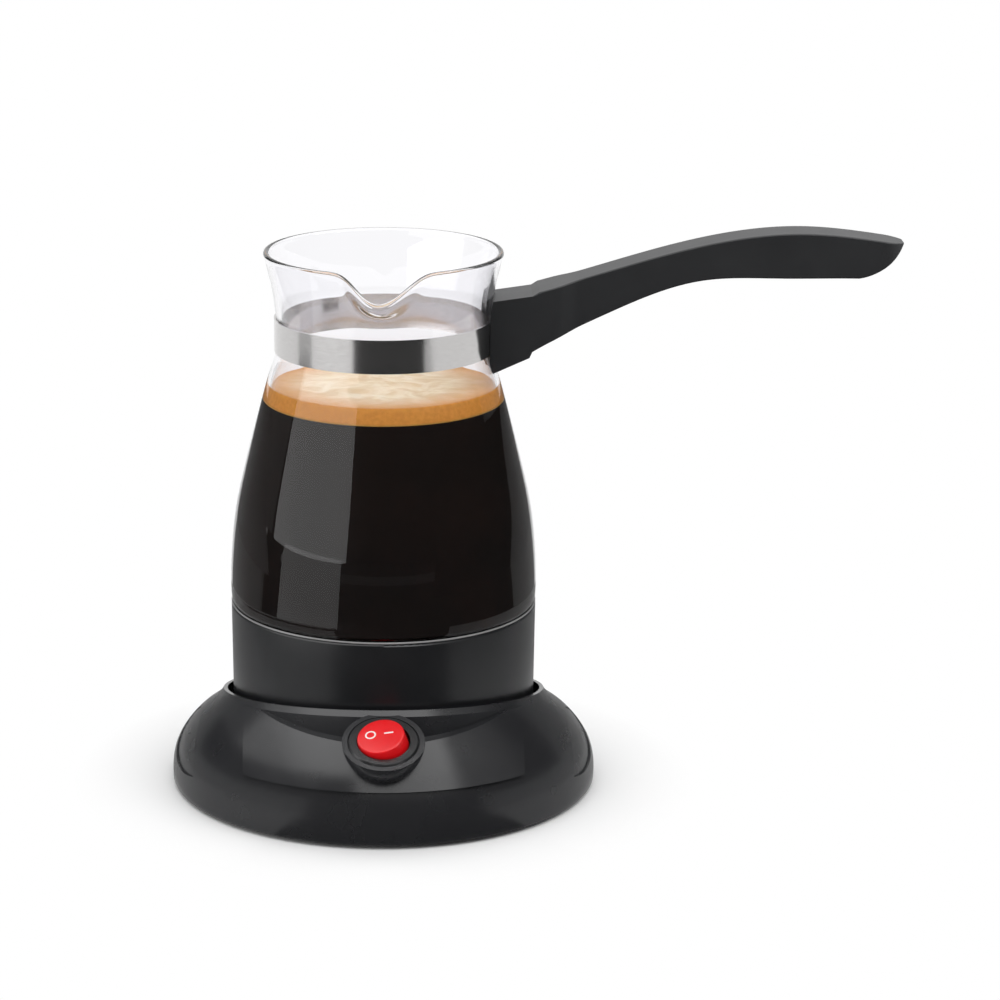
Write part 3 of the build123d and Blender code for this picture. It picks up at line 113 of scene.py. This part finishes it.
def turned(name, outline, sides=96, closed=False):
    """A piece turned on the upright axis from (radius, height) in mm, starting as a circle."""
    deselect()
    radius, height = outline[0]
    bpy.ops.mesh.primitive_circle_add(vertices=sides, radius=radius * MM, location=(0, 0, height * MM))
    piece = name_piece(name)
    bpy.ops.object.mode_set(mode="EDIT")
    bpy.ops.mesh.select_all(action="SELECT")
    for next_radius, next_height in outline[1:]:
        rise = (0, 0, (next_height - height) * MM)
        bpy.ops.mesh.extrude_edges_move(TRANSFORM_OT_translate={"value": rise})
        grow = next_radius / radius
        bpy.ops.transform.resize(value=(grow, grow, 1), center_override=(0, 0, next_height * MM))
        radius, height = next_radius, next_height
    if closed:
        bpy.ops.mesh.select_all(action="SELECT")
        bpy.ops.mesh.remove_doubles(threshold=SAME_POINT * MM)
    face_outwards()
    return piece


def cap_ends(piece):
    """Close the tiny holes on the axis."""
    take_up(piece)
    bpy.ops.object.mode_set(mode="EDIT")
    bpy.ops.mesh.select_all(action="SELECT")
    bpy.ops.mesh.fill_holes(sides=0)
    face_outwards()


def soften(piece, levels):
    take_up(piece)
    smooth = piece.modifiers.new("rounding", "SUBSURF")
    smooth.levels = smooth.render_levels = levels
    bpy.ops.object.modifier_apply(modifier=smooth.name)
    bpy.ops.object.shade_smooth()


def set_down(piece, matrix):
    """Move a piece made round the origin to its place, and leave that place in its mesh."""
    take_up(piece)
    piece.matrix_world = matrix
    bpy.ops.object.transform_apply(location=True, rotation=True, scale=True)


def finish_with(piece, material):
    piece.data.materials.clear()
    piece.data.materials.append(material)


# ------------------------------------------------------------------ finishes
def new_finish(name):
    finish = bpy.data.materials.new(name)
    finish.use_nodes = True
    shader = finish.node_tree.nodes["Principled BSDF"]
    return finish, finish.node_tree, shader


def place(tree, stretch=(1, 1, 1)):
    where = tree.nodes.new("ShaderNodeTexCoord")
    turn = tree.nodes.new("ShaderNodeMapping")
    turn.inputs["Scale"].default_value = stretch
    tree.links.new(where.outputs["Object"], turn.inputs["Vector"])
    return turn.outputs["Vector"]


def mottle(tree, size, detail=2.0, stretch=(1, 1, 1), swirl=0.0):
    """Noise whose spots are about size metres across."""
    noise = tree.nodes.new("ShaderNodeTexNoise")
    noise.inputs["Scale"].default_value = 1 / size
    noise.inputs["Detail"].default_value = detail
    noise.inputs["Distortion"].default_value = swirl
    tree.links.new(place(tree, stretch), noise.inputs["Vector"])
    return noise.outputs["Fac"]


def between(tree, value, low, high, start=0.3, end=0.7):
    spread = tree.nodes.new("ShaderNodeMapRange")
    spread.inputs["From Min"].default_value = start
    spread.inputs["From Max"].default_value = end
    spread.inputs["To Min"].default_value = low
    spread.inputs["To Max"].default_value = high
    tree.links.new(value, spread.inputs["Value"])
    return spread.outputs["Result"]


def shades(tree, value, dark, light):
    ramp = tree.nodes.new("ShaderNodeValToRGB")
    ramp.color_ramp.elements[0].position = 0.35
    ramp.color_ramp.elements[0].color = (*dark, 1)
    ramp.color_ramp.elements[1].position = 0.65
    ramp.color_ramp.elements[1].color = (*light, 1)
    tree.links.new(value, ramp.inputs["Fac"])
    return ramp.outputs["Color"]


def blend_colours(tree, share, first, second):
    mix = tree.nodes.new("ShaderNodeMix")
    mix.data_type = "RGBA"
    tree.links.new(share, mix.inputs["Factor"])
    tree.links.new(first, mix.inputs["A"])
    tree.links.new(second, mix.inputs["B"])
    return mix.outputs["Result"]


def reckon(tree, operation, *values):
    node = tree.nodes.new("ShaderNodeMath")
    node.operation = operation
    for value, socket in zip(values, node.inputs):
        tree.links.new(value, socket)
    return node.outputs[0]


def raise_grain(tree, shader, value, depth, strength):
    grain = tree.nodes.new("ShaderNodeBump")
    grain.inputs["Distance"].default_value = depth
    grain.inputs["Strength"].default_value = strength
    tree.links.new(value, grain.inputs["Height"])
    tree.links.new(grain.outputs["Normal"], shader.inputs["Normal"])


def moulded_plastic(name, dark, light, rough, bends=1.5, depth=0.000008):
    """Plastic between two shades; a higher refractive index bends light more and mirrors more."""
    finish, tree, shader = new_finish(name)
    shader.inputs["IOR"].default_value = bends
    tree.links.new(shades(tree, mottle(tree, 0.02, 3.0), dark, light), shader.inputs["Base Color"])
    sheen = between(tree, mottle(tree, 0.008, 3.0), rough - 0.012, rough + 0.018)
    tree.links.new(sheen, shader.inputs["Roughness"])
    raise_grain(tree, shader, mottle(tree, 0.00025, 2.0), depth, 0.2)
    return finish


def drawn_metal(name, dark, light, rough, stretch=(1, 1, 1)):
    """Metal whose spots become brushed lines where they are stretched."""
    finish, tree, shader = new_finish(name)
    shader.inputs["Metallic"].default_value = 1.0
    brushing = mottle(tree, 0.002, 3.0, stretch)
    tree.links.new(shades(tree, brushing, dark, light), shader.inputs["Base Color"])
    tree.links.new(between(tree, brushing, rough - 0.03, rough + 0.06), shader.inputs["Roughness"])
    raise_grain(tree, shader, brushing, 0.00001, 0.25)
    return finish


def clear_glass(name):
    finish, tree, shader = new_finish(name)
    shader.inputs["Base Color"].default_value = (0.975, 0.972, 0.992, 1)
    shader.inputs["Transmission Weight"].default_value = 1.0
    shader.inputs["IOR"].default_value = 1.45
    shader.inputs["Roughness"].default_value = 0.0
    raise_grain(tree, shader, mottle(tree, 0.012, 1.0), 0.00002, 0.2)
    return finish


FINISHES = {
    "clear_glass": clear_glass("clear_glass"),
    "brushed_band": drawn_metal("band_steel", (0.52, 0.51, 0.505), (0.60, 0.59, 0.585), 0.13, (1, 1, 30)),
    "handle_plastic": moulded_plastic(
        "handle_plastic", (0.014, 0.0145, 0.016), (0.018, 0.0185, 0.020), 0.46, bends=1.47
    ),
    "collar_plastic": moulded_plastic(
        "collar_plastic", (0.009, 0.0093, 0.0108), (0.012, 0.0123, 0.0138), 0.30, bends=1.58
    ),
    "base_plastic": moulded_plastic(
        "base_plastic", (0.0155, 0.0158, 0.0176), (0.0175, 0.0178, 0.0196), 0.26, bends=1.58
    ),
    "control_plastic": moulded_plastic(
        "control_plastic", (0.010, 0.010, 0.010), (0.014, 0.014, 0.014), 0.45
    ),
    "switch_plastic": moulded_plastic(
        "switch_plastic", (0.012, 0.012, 0.013), (0.016, 0.016, 0.017), 0.2, bends=1.58, depth=0.000005
    ),
    "block_plastic": moulded_plastic("block_plastic", (0.62, 0.60, 0.55), (0.70, 0.68, 0.62), 0.5),
    "rocker_plastic": moulded_plastic(
        "rocker_plastic", (0.62, 0.005, 0.008), (0.72, 0.008, 0.012), 0.16, bends=1.46, depth=0.000004
    ),
    "foot_rubber": moulded_plastic("foot_rubber", (0.008, 0.008, 0.008), (0.012, 0.012, 0.012), 0.7),
    "silicone": moulded_plastic("silicone", (0.6, 0.6, 0.57), (0.68, 0.68, 0.65), 0.5),
    # This grey also paints the highlight on the bead at the glass heel.
    "seal": moulded_plastic("silicone_and_heel_highlight", (0.20, 0.20, 0.20), (0.26, 0.26, 0.26), 0.4),
    "plate_steel": drawn_metal("plate_steel", (0.52, 0.52, 0.52), (0.62, 0.62, 0.62), 0.3),
    "screw_steel": drawn_metal("screw_steel", (0.42, 0.42, 0.44), (0.52, 0.52, 0.54), 0.3),
    "cast_aluminium": drawn_metal("cast_aluminium", (0.55, 0.55, 0.56), (0.62, 0.62, 0.63), 0.5),
    "contact_brass": drawn_metal("contact_brass", (0.62, 0.42, 0.16), (0.72, 0.5, 0.2), 0.3),
}
for entry in frame["record"]["subparts"]:
    finish_with(nodes[entry["node"]], FINISHES[entry["material_slot"]])


# ------------------------------------------------------------------ glass jug
GLASS_WALL = 1.8
WALL_RINGS = (
    (46.6, 52.2), (46.6, 57.0), (46.6, 61.2), (48.9, 61.75), (49.9, 62.5), (50.15, 65.0), (50.2, 70.0),
    (50.0, 76.0), (49.5, 83.0), (48.8, 90.0), (47.6, 97.0), (46.1, 103.5), (44.4, 110.5), (42.4, 118.5),
    (40.2, 127.0), (38.0, 135.0), (36.2, 140.5), (35.0, 144.2), (34.7, 147.5), (34.7, 152.0), (34.75, 156.8),
    (35.1, 161.0), (35.8, 165.5), (36.8, 170.0), (37.8, 174.0), (38.6, 176.7),
)
RIM_BEAD = ((38.8, 177.5), (38.3, 178.3), (37.3, 178.2), (36.75, 177.4))
# A light grey bead at the glass heel, whose grey is a painted highlight along the joint with the collar.
HEEL_HIGHLIGHT_BEAD = (49.72, 61.85, 0.34)  # radius and height of the bead's middle, and its own radius
HEEL = ((47.6, 63.3), (46.0, 62.6), (44.9, 61.4), (44.8, 57.0), (44.8, 52.2))
SPOUT_PULL = (-1.6, -3.6, -9.2)
SPOUT_SIZE = 15.2
SPOUT_PINCH = 1.0  # half the width of the rim that is pulled
ROLL_LOW = 176.5  # where the rolled rim begins


def wall_radius(height):
    """Outer radius of the glass at a height, both in mm."""
    for (low_r, low_z), (high_r, high_z) in zip(WALL_RINGS[3:], WALL_RINGS[4:]):
        if low_z <= height <= high_z:
            return low_r + (high_r - low_r) * (height - low_z) / (high_z - low_z)
    raise ValueError(f"the glass has no wall at {height}")


def blow_jug():
    inner = [(radius - GLASS_WALL, height) for radius, height in reversed(WALL_RINGS[5:])]
    outline = [*WALL_RINGS, *RIM_BEAD, *inner, *HEEL, WALL_RINGS[0]]
    jug = turned("jug_glass", outline, 72, closed=True)
    pick_points(jug, lambda p: p.z > ROLL_LOW * MM and p.y < 0 and abs(p.x) < SPOUT_PINCH * MM)
    bpy.ops.transform.translate(
        value=[step * MM for step in SPOUT_PULL],
        use_proportional_edit=True,
        proportional_edit_falloff="SMOOTH",
        proportional_size=SPOUT_SIZE * MM,
    )
    bpy.ops.object.mode_set(mode="OBJECT")
    soften(jug, 2)
    finish_with(jug, FINISHES["clear_glass"])
    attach(jug, "jug")
    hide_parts("glass_jug")


blow_jug()


def paint_heel_highlight_bead():
    """A light grey bead that fills the joint between the glass and the collar; its grey is a painted highlight for
    the bright line along the glass heel.
    """
    radius, height, thick = HEEL_HIGHLIGHT_BEAD
    steps = [radians(turn) for turn in range(0, 360, 45)]
    outline = [(radius + thick * cos(turn), height + thick * sin(turn)) for turn in steps]
    seal = turned("heel_highlight_bead", outline + outline[:1], 120, closed=True)
    soften(seal, 1)
    finish_with(seal, FINISHES["seal"])
    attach(seal, "jug")


paint_heel_highlight_bead()


# ------------------------------------------------------------------ coffee with its crema
WET = 0.3  # how far the coffee reaches into the glass, so that no air shows between them
PLATE_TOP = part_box("heating_plate")[1].z / MM
COFFEE_TOP = 129.4
CREMA_TOP = 134.8
AXIS_R = 0.4  # tiny hole on the axis of a liquid, closed once it is turned
BREW_HEEL = ((42.15, 55.1), (45.0, 55.1), (45.2, 62.1), (48.2, 62.4), (49.2, 63.2), (49.2, 64.2))
BREW_LEVELS = (66, 70, 76, 83, 90, 97, 103.5, 110.5, 118.5, 125)
CREMA_LEVELS = (131.2, 133.0, 134.2)
FROTH_RADII = (32.0, 28.0, 24.0, 20.0, 16.0, 12.0, 8.0, 4.0, AXIS_R)
FROTH_R = 34.5
FROTH_LOW = 134.0
CREAM_R = 22.0
AMBER_R = 36.2


def coffee_brown():
    finish, tree, shader = new_finish("brewed_coffee")
    brown = shades(tree, mottle(tree, 0.03, 2.0), (0.0045, 0.0028, 0.0022), (0.0075, 0.0036, 0.0026))
    tree.links.new(brown, shader.inputs["Base Color"])
    shader.inputs["Roughness"].default_value = 0.3
    shader.inputs["Specular IOR Level"].default_value = 0.05
    return finish


def crema_foam():
    """Cream in the middle, amber towards the glass and down the side, with fine bubbles."""
    finish, tree, shader = new_finish("crema_foam")
    swirls = mottle(tree, 0.009, 6.0, swirl=1.6)
    cream = shades(tree, swirls, (0.72, 0.52, 0.29), (0.88, 0.74, 0.54))
    amber = shades(tree, mottle(tree, 0.0015, 3.0), (0.58, 0.225, 0.016), (0.66, 0.27, 0.024))
    where = tree.nodes.new("ShaderNodeSeparateXYZ")
    tree.links.new(place(tree), where.inputs["Vector"])
    x_squared = reckon(tree, "MULTIPLY", where.outputs["X"], where.outputs["X"])
    squared = reckon(tree, "MULTIPLY_ADD", where.outputs["Y"], where.outputs["Y"], x_squared)
    edge = between(tree, reckon(tree, "SQRT", squared), 0.0, 1.0, CREAM_R * MM, AMBER_R * MM)
    side = between(tree, where.outputs["Z"], 1.0, 0.0, (CREMA_TOP - 1.6) * MM, (CREMA_TOP - 0.7) * MM)
    pale = shades(tree, mottle(tree, 0.0008, 2.0), (0.62, 0.33, 0.07), (0.70, 0.40, 0.10))
    lowest = between(tree, where.outputs["Z"], 1.0, 0.0, (COFFEE_TOP + 0.1) * MM, (COFFEE_TOP + 0.7) * MM)
    body = blend_colours(tree, reckon(tree, "MAXIMUM", edge, side), cream, amber)
    tree.links.new(blend_colours(tree, lowest, body, pale), shader.inputs["Base Color"])
    bubbles = tree.nodes.new("ShaderNodeTexVoronoi")
    bubbles.inputs["Scale"].default_value = 1400
    tree.links.new(place(tree), bubbles.inputs["Vector"])
    raise_grain(tree, shader, bubbles.outputs["Distance"], 0.00005, 0.12)
    shader.inputs["Roughness"].default_value = 0.5
    shader.inputs["Subsurface Weight"].default_value = 0.15
    shader.inputs["Subsurface Radius"].default_value = (0.002, 0.001, 0.0004)
    return finish


def wetted(height):
    """Radius of a liquid that wets the glass at a height, in mm."""
    return wall_radius(height) - GLASS_WALL + WET


def pour_coffee():
    low = PLATE_TOP + 0.05
    brew = [(AXIS_R, low), (BREW_HEEL[0][0], low), *BREW_HEEL]
    brew += [(wetted(height), height) for height in BREW_LEVELS]
    brew += [(wetted(COFFEE_TOP), COFFEE_TOP), (AXIS_R, COFFEE_TOP)]
    coffee = turned("coffee", brew)
    cap_ends(coffee)
    take_up(coffee)
    bpy.ops.object.shade_smooth_by_angle(angle=radians(40))
    finish_with(coffee, coffee_brown())
    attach(coffee, "jug")


def float_crema():
    side = [(wetted(height) + 0.05, height) for height in (COFFEE_TOP - 0.2, *CREMA_LEVELS)]
    low = COFFEE_TOP - 0.3
    foam = [(AXIS_R, low), (20.0, low), (side[0][0] - 0.6, low), *side]
    foam += [(wetted(CREMA_TOP) - 0.3, CREMA_TOP + 0.1), (wetted(CREMA_TOP) - 1.4, CREMA_TOP)]
    foam += [(radius, CREMA_TOP - 0.2) for radius in FROTH_RADII]
    crema = turned("crema", foam)
    cap_ends(crema)
    top = crema.vertex_groups.new(name="top")
    raised = [
        p.index
        for p in crema.data.vertices
        if p.co.z > FROTH_LOW * MM and hypot(p.co.x, p.co.y) < FROTH_R * MM
    ]
    top.add(raised, 1.0, "REPLACE")
    soften(crema, 1)
    froth = bpy.data.textures.new("froth", "CLOUDS")
    froth.noise_scale = 0.005
    froth.noise_depth = 3
    ripple = crema.modifiers.new("froth", "DISPLACE")
    ripple.texture = froth
    ripple.texture_coords = "LOCAL"
    ripple.direction = "Z"
    ripple.strength = 0.0007
    ripple.vertex_group = "top"
    take_up(crema)
    bpy.ops.object.modifier_apply(modifier=ripple.name)
    finish_with(crema, crema_foam())
    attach(crema, "jug")


pour_coffee()
float_crema()


# ------------------------------------------------------------------ marks on the switch
ROCKER_TILT = 10.0
ROCKER_FACE = 5.3  # above the pivot
MARK_SINK = 0.06
MARK_PROUD = 0.12
RING_AT = (-3.2, 0.9)  # across the rocker and along its pivot
DASH_AT = (2.6, 0.9)
DASH_L = 2.9
DASH_W = 0.55


def printed_white():
    finish, tree, shader = new_finish("mark_white")
    tone = shades(tree, mottle(tree, 0.001, 2.0), (0.80, 0.78, 0.77), (0.88, 0.86, 0.85))
    tree.links.new(tone, shader.inputs["Base Color"])
    tree.links.new(between(tree, mottle(tree, 0.0008, 2.0), 0.32, 0.42), shader.inputs["Roughness"])
    return finish


def rocker_face():
    """Where the rocker's face is, as a matrix whose z axis stands on it and whose y axis is the pivot."""
    pivot = Vector(joints["rocker_turn"]["pos_m"])
    along = Vector(joints["rocker_turn"]["axis"]).normalized()
    tilt = Matrix.Rotation(radians(-ROCKER_TILT), 3, along)
    across = tilt @ Vector((1, 0, 0))
    out = across.cross(along)
    turn = Matrix((across, along, out)).transposed().to_4x4()
    return Matrix.Translation(pivot + out * ROCKER_FACE * MM) @ turn


def on_face(face, spot):
    across, along = spot
    return face @ Matrix.Translation((across * MM, along * MM, 0))


def mark_off(face):
    outer, inner, soft = 1.75, 1.25, 0.08
    outline = [
        (inner, -MARK_SINK), (outer, -MARK_SINK), (outer, MARK_PROUD - soft), (outer - soft, MARK_PROUD),
        (inner + soft, MARK_PROUD), (inner, MARK_PROUD - soft), (inner, -MARK_SINK),
    ]
    ring = turned("mark_off", outline, 48, closed=True)
    set_down(ring, on_face(face, RING_AT))
    bpy.ops.object.shade_smooth_by_angle(angle=radians(50))
    return ring


def mark_on(face):
    deselect()
    bpy.ops.mesh.primitive_cube_add(size=1, location=(0, 0, (MARK_PROUD - MARK_SINK) / 2 * MM))
    bpy.ops.transform.resize(value=(DASH_L * MM, DASH_W * MM, (MARK_PROUD + MARK_SINK) * MM))
    dash = name_piece("mark_on")
    bpy.ops.object.mode_set(mode="EDIT")
    bpy.ops.mesh.select_all(action="SELECT")
    bpy.ops.mesh.bevel(offset=0.05 * MM, segments=2, affect="EDGES")
    bpy.ops.object.mode_set(mode="OBJECT")
    set_down(dash, on_face(face, DASH_AT))
    bpy.ops.object.shade_smooth_by_angle(angle=radians(50))
    return dash


def mark_rocker():
    face = rocker_face()
    white = printed_white()
    for make in (mark_off, mark_on):
        mark = make(face)
        finish_with(mark, white)
        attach(mark, "rocker")


mark_rocker()


# ------------------------------------------------------------------ studio
FLOOR_NEAR = 0.072
FLOOR_FAR = 0.103
ROOM_R = 1.6
WALL_H = 0.75
ROOM_LIGHT = 0.25
CARD_Z = 0.0005  # of the cards that lie on the floor
TRAY_R = 0.14
LIP_Z = 0.031
KERB_R = 0.5
KERB_Z = 0.033
BAND_IN_R = 0.60
BAND_OUT_R = 0.76
SIDE_R = 0.425
LEFT_SIDE_R = 0.61
CONE_TOP = (0.06, 0.129)
CONE_R = 0.42
SCOOP_IN = (0.094, 0.0455)
SCOOP_OUT = (0.138, 0.030)
FRONT_LEFT = -31  # angles of the cards' ends, from the front and positive to the right
FRONT_RIGHT = 42
SIDE_LEFT = -93
SIDE_RIGHT = 105
BACK = 150
STRIP_LEFT = -98
STRIP_RIGHT = -79
HALF_STEP = 0.5  # half the angle between two points of a card, so that its end points count
LAMPS = (  # name, place, aim, width, height and power
    ("top_light", (0.1, -0.35, 1.4), (0.1, -0.35, 0), 3.3, 3.3, 45.0),
    ("left_light", (-0.77, -0.47, 0.24), (0, 0, 0.10), 1.14, 0.46, 2.7),
    ("right_light", (0.83, -0.40, 0.82), (0, 0, 0.05), 0.6, 0.38, 2.4),
)


def seen_directly(tree):
    """1 for what is looked at, mirrored or seen through glass, 0 for the light that a surface gathers."""
    path = tree.nodes.new("ShaderNodeLightPath")
    seen = path.outputs["Is Camera Ray"]
    for other in ("Is Glossy Ray", "Is Transmission Ray"):
        seen = reckon(tree, "MAXIMUM", seen, path.outputs[other])
    return seen


def floor_paper():
    """Lit paper round the object, which turns to plain white away from it."""
    paper, tree, shader = new_finish("studio_paper")
    shader.inputs["Base Color"].default_value = (0.9, 0.9, 0.9, 1)
    shader.inputs["Roughness"].default_value = 0.6
    shader.inputs["Specular IOR Level"].default_value = 0.1
    white = tree.nodes.new("ShaderNodeEmission")
    white.inputs["Color"].default_value = (1, 1, 1, 1)
    white.inputs["Strength"].default_value = 1.0
    length = tree.nodes.new("ShaderNodeVectorMath")
    length.operation = "LENGTH"
    tree.links.new(place(tree), length.inputs[0])
    away = between(tree, length.outputs["Value"], 0.0, 1.0, FLOOR_NEAR, FLOOR_FAR)
    mix = tree.nodes.new("ShaderNodeMixShader")
    tree.links.new(reckon(tree, "MULTIPLY", away, seen_directly(tree)), mix.inputs["Fac"])
    tree.links.new(shader.outputs["BSDF"], mix.inputs[1])
    tree.links.new(white.outputs["Emission"], mix.inputs[2])
    tree.links.new(mix.outputs["Shader"], tree.nodes["Material Output"].inputs["Surface"])
    return paper


def lay_floor():
    deselect()
    bpy.ops.mesh.primitive_plane_add(size=8.0, location=(0, 0, 0))
    floor = bpy.context.object
    floor.name = "studio_floor"
    floor.data.materials.append(floor_paper())


def felt(name, tone):
    cloth, tree, shader = new_finish(name)
    shader.inputs["Base Color"].default_value = (tone, tone, tone, 1)
    shader.inputs["Roughness"].default_value = 0.9
    shader.inputs["Specular IOR Level"].default_value = 0.0
    return cloth


def hang_card(name, cloth, low, high, start, end):
    """A card that only reflections meet, swept round the axis from one angle to another.
    Angles are from the front, positive to the right; start and end are (radius, height)."""
    deselect()
    bpy.ops.mesh.primitive_circle_add(vertices=360, radius=start[0], location=(0, 0, start[1]))
    card = name_piece(name)
    first, last = low - HALF_STEP, high + HALF_STEP
    pick_points(card, lambda p: not first <= degrees(atan2(p.x, -p.y)) <= last)
    bpy.ops.mesh.delete(type="VERT")
    bpy.ops.mesh.select_all(action="SELECT")
    bpy.ops.mesh.extrude_edges_move(TRANSFORM_OT_translate={"value": (0, 0, end[1] - start[1])})
    widen = end[0] / start[0]
    bpy.ops.transform.resize(value=(widen, widen, 1), center_override=(0, 0, end[1]))
    bpy.ops.object.mode_set(mode="OBJECT")
    finish_with(card, cloth)
    for sight in ("camera", "diffuse", "shadow", "transmission", "volume_scatter"):
        setattr(card, "visible_" + sight, False)


def light_world():
    world = bpy.data.worlds.new("studio_world")
    bpy.context.scene.world = world
    world.use_nodes = True
    tree = world.node_tree
    tree.nodes.clear()
    out = tree.nodes.new("ShaderNodeOutputWorld")
    seen = tree.nodes.new("ShaderNodeBackground")
    seen.inputs["Color"].default_value = (1, 1, 1, 1)
    seen.inputs["Strength"].default_value = 1.0
    room = tree.nodes.new("ShaderNodeBackground")
    room.inputs["Color"].default_value = (1, 1, 1, 1)
    room.inputs["Strength"].default_value = ROOM_LIGHT
    mix = tree.nodes.new("ShaderNodeMixShader")
    tree.links.new(seen_directly(tree), mix.inputs["Fac"])
    tree.links.new(room.outputs[0], mix.inputs[1])
    tree.links.new(seen.outputs[0], mix.inputs[2])
    tree.links.new(mix.outputs[0], out.inputs["Surface"])


def soft_lamp(name, place_at, aim, width, height, power):
    lamp = bpy.data.lights.new(name, "AREA")
    lamp.shape = "RECTANGLE"
    lamp.size = width
    lamp.size_y = height
    lamp.energy = power
    light = bpy.data.objects.new(name, lamp)
    light.location = place_at
    light.rotation_euler = (Vector(aim) - Vector(place_at)).to_track_quat("-Z", "Y").to_euler()
    bpy.context.scene.collection.objects.link(light)


def set_studio():
    lay_floor()
    light_world()
    black = felt("black_felt", 0.012)
    dark = felt("dark_felt", 0.08)
    dim = felt("dim_felt", 0.22)
    grey = felt("grey_felt", 0.5)
    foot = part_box("base_housing")[1].x + 2 * MM
    skirt, tray, lip = (foot, CARD_Z), (TRAY_R, CARD_Z), (TRAY_R, LIP_Z)
    side, left_side, cone = (SIDE_R, CARD_Z), (LEFT_SIDE_R, CARD_Z), (CONE_R, CARD_Z)
    band_in, band_out, room = (BAND_IN_R, CARD_Z), (BAND_OUT_R, CARD_Z), (ROOM_R, CARD_Z)
    wall_low, wall_high = (ROOM_R, 0.0), (ROOM_R, WALL_H)
    cards = (  # name, cloth, first and last angle, start and end
        ("front_wall", black, SIDE_LEFT, SIDE_RIGHT, wall_low, wall_high),
        ("left_wall", dim, -BACK, SIDE_LEFT, wall_low, wall_high),
        ("right_wall", dim, SIDE_RIGHT, BACK, wall_low, wall_high),
        ("front_floor_near", black, FRONT_LEFT, FRONT_RIGHT, skirt, tray),
        ("front_floor_mid", black, FRONT_LEFT, 52, tray, band_in),
        ("front_floor_band", dark, FRONT_LEFT, FRONT_RIGHT, band_in, band_out),
        ("front_floor_far", black, FRONT_LEFT, 48, band_out, room),
        ("front_lip", black, FRONT_LEFT, -18, tray, lip),
        ("right_floor", black, 52, SIDE_RIGHT, tray, side),
        ("right_cone", black, 35, SIDE_RIGHT, CONE_TOP, cone),
        ("right_floor_back", dim, SIDE_RIGHT, BACK, tray, side),
        ("right_cone_back", dim, SIDE_RIGHT, BACK, CONE_TOP, cone),
        ("left_floor_back", dim, -BACK, -95, tray, side),
        ("left_floor_side", black, STRIP_LEFT, STRIP_RIGHT, tray, left_side),
        ("left_floor_far", black, STRIP_LEFT, STRIP_RIGHT, band_out, room),
        ("left_kerb", black, STRIP_LEFT, STRIP_RIGHT, (KERB_R, CARD_Z), (KERB_R, KERB_Z)),
        ("left_cone_back", dim, -BACK, -90, CONE_TOP, cone),
        ("left_tray", grey, -BACK, FRONT_LEFT, skirt, tray),
        ("left_lip", grey, -BACK, FRONT_LEFT, tray, lip),
        ("right_tray", grey, FRONT_RIGHT, BACK, skirt, tray),
        ("right_lip", grey, FRONT_RIGHT, BACK, tray, lip),
        ("scoop_card", black, -105, -10, SCOOP_IN, SCOOP_OUT),
    )
    for card in cards:
        hang_card(*card)
    for lamp in LAMPS:
        soft_lamp(*lamp)


set_studio()
bpy.context.scene.view_settings.view_transform = "Standard"
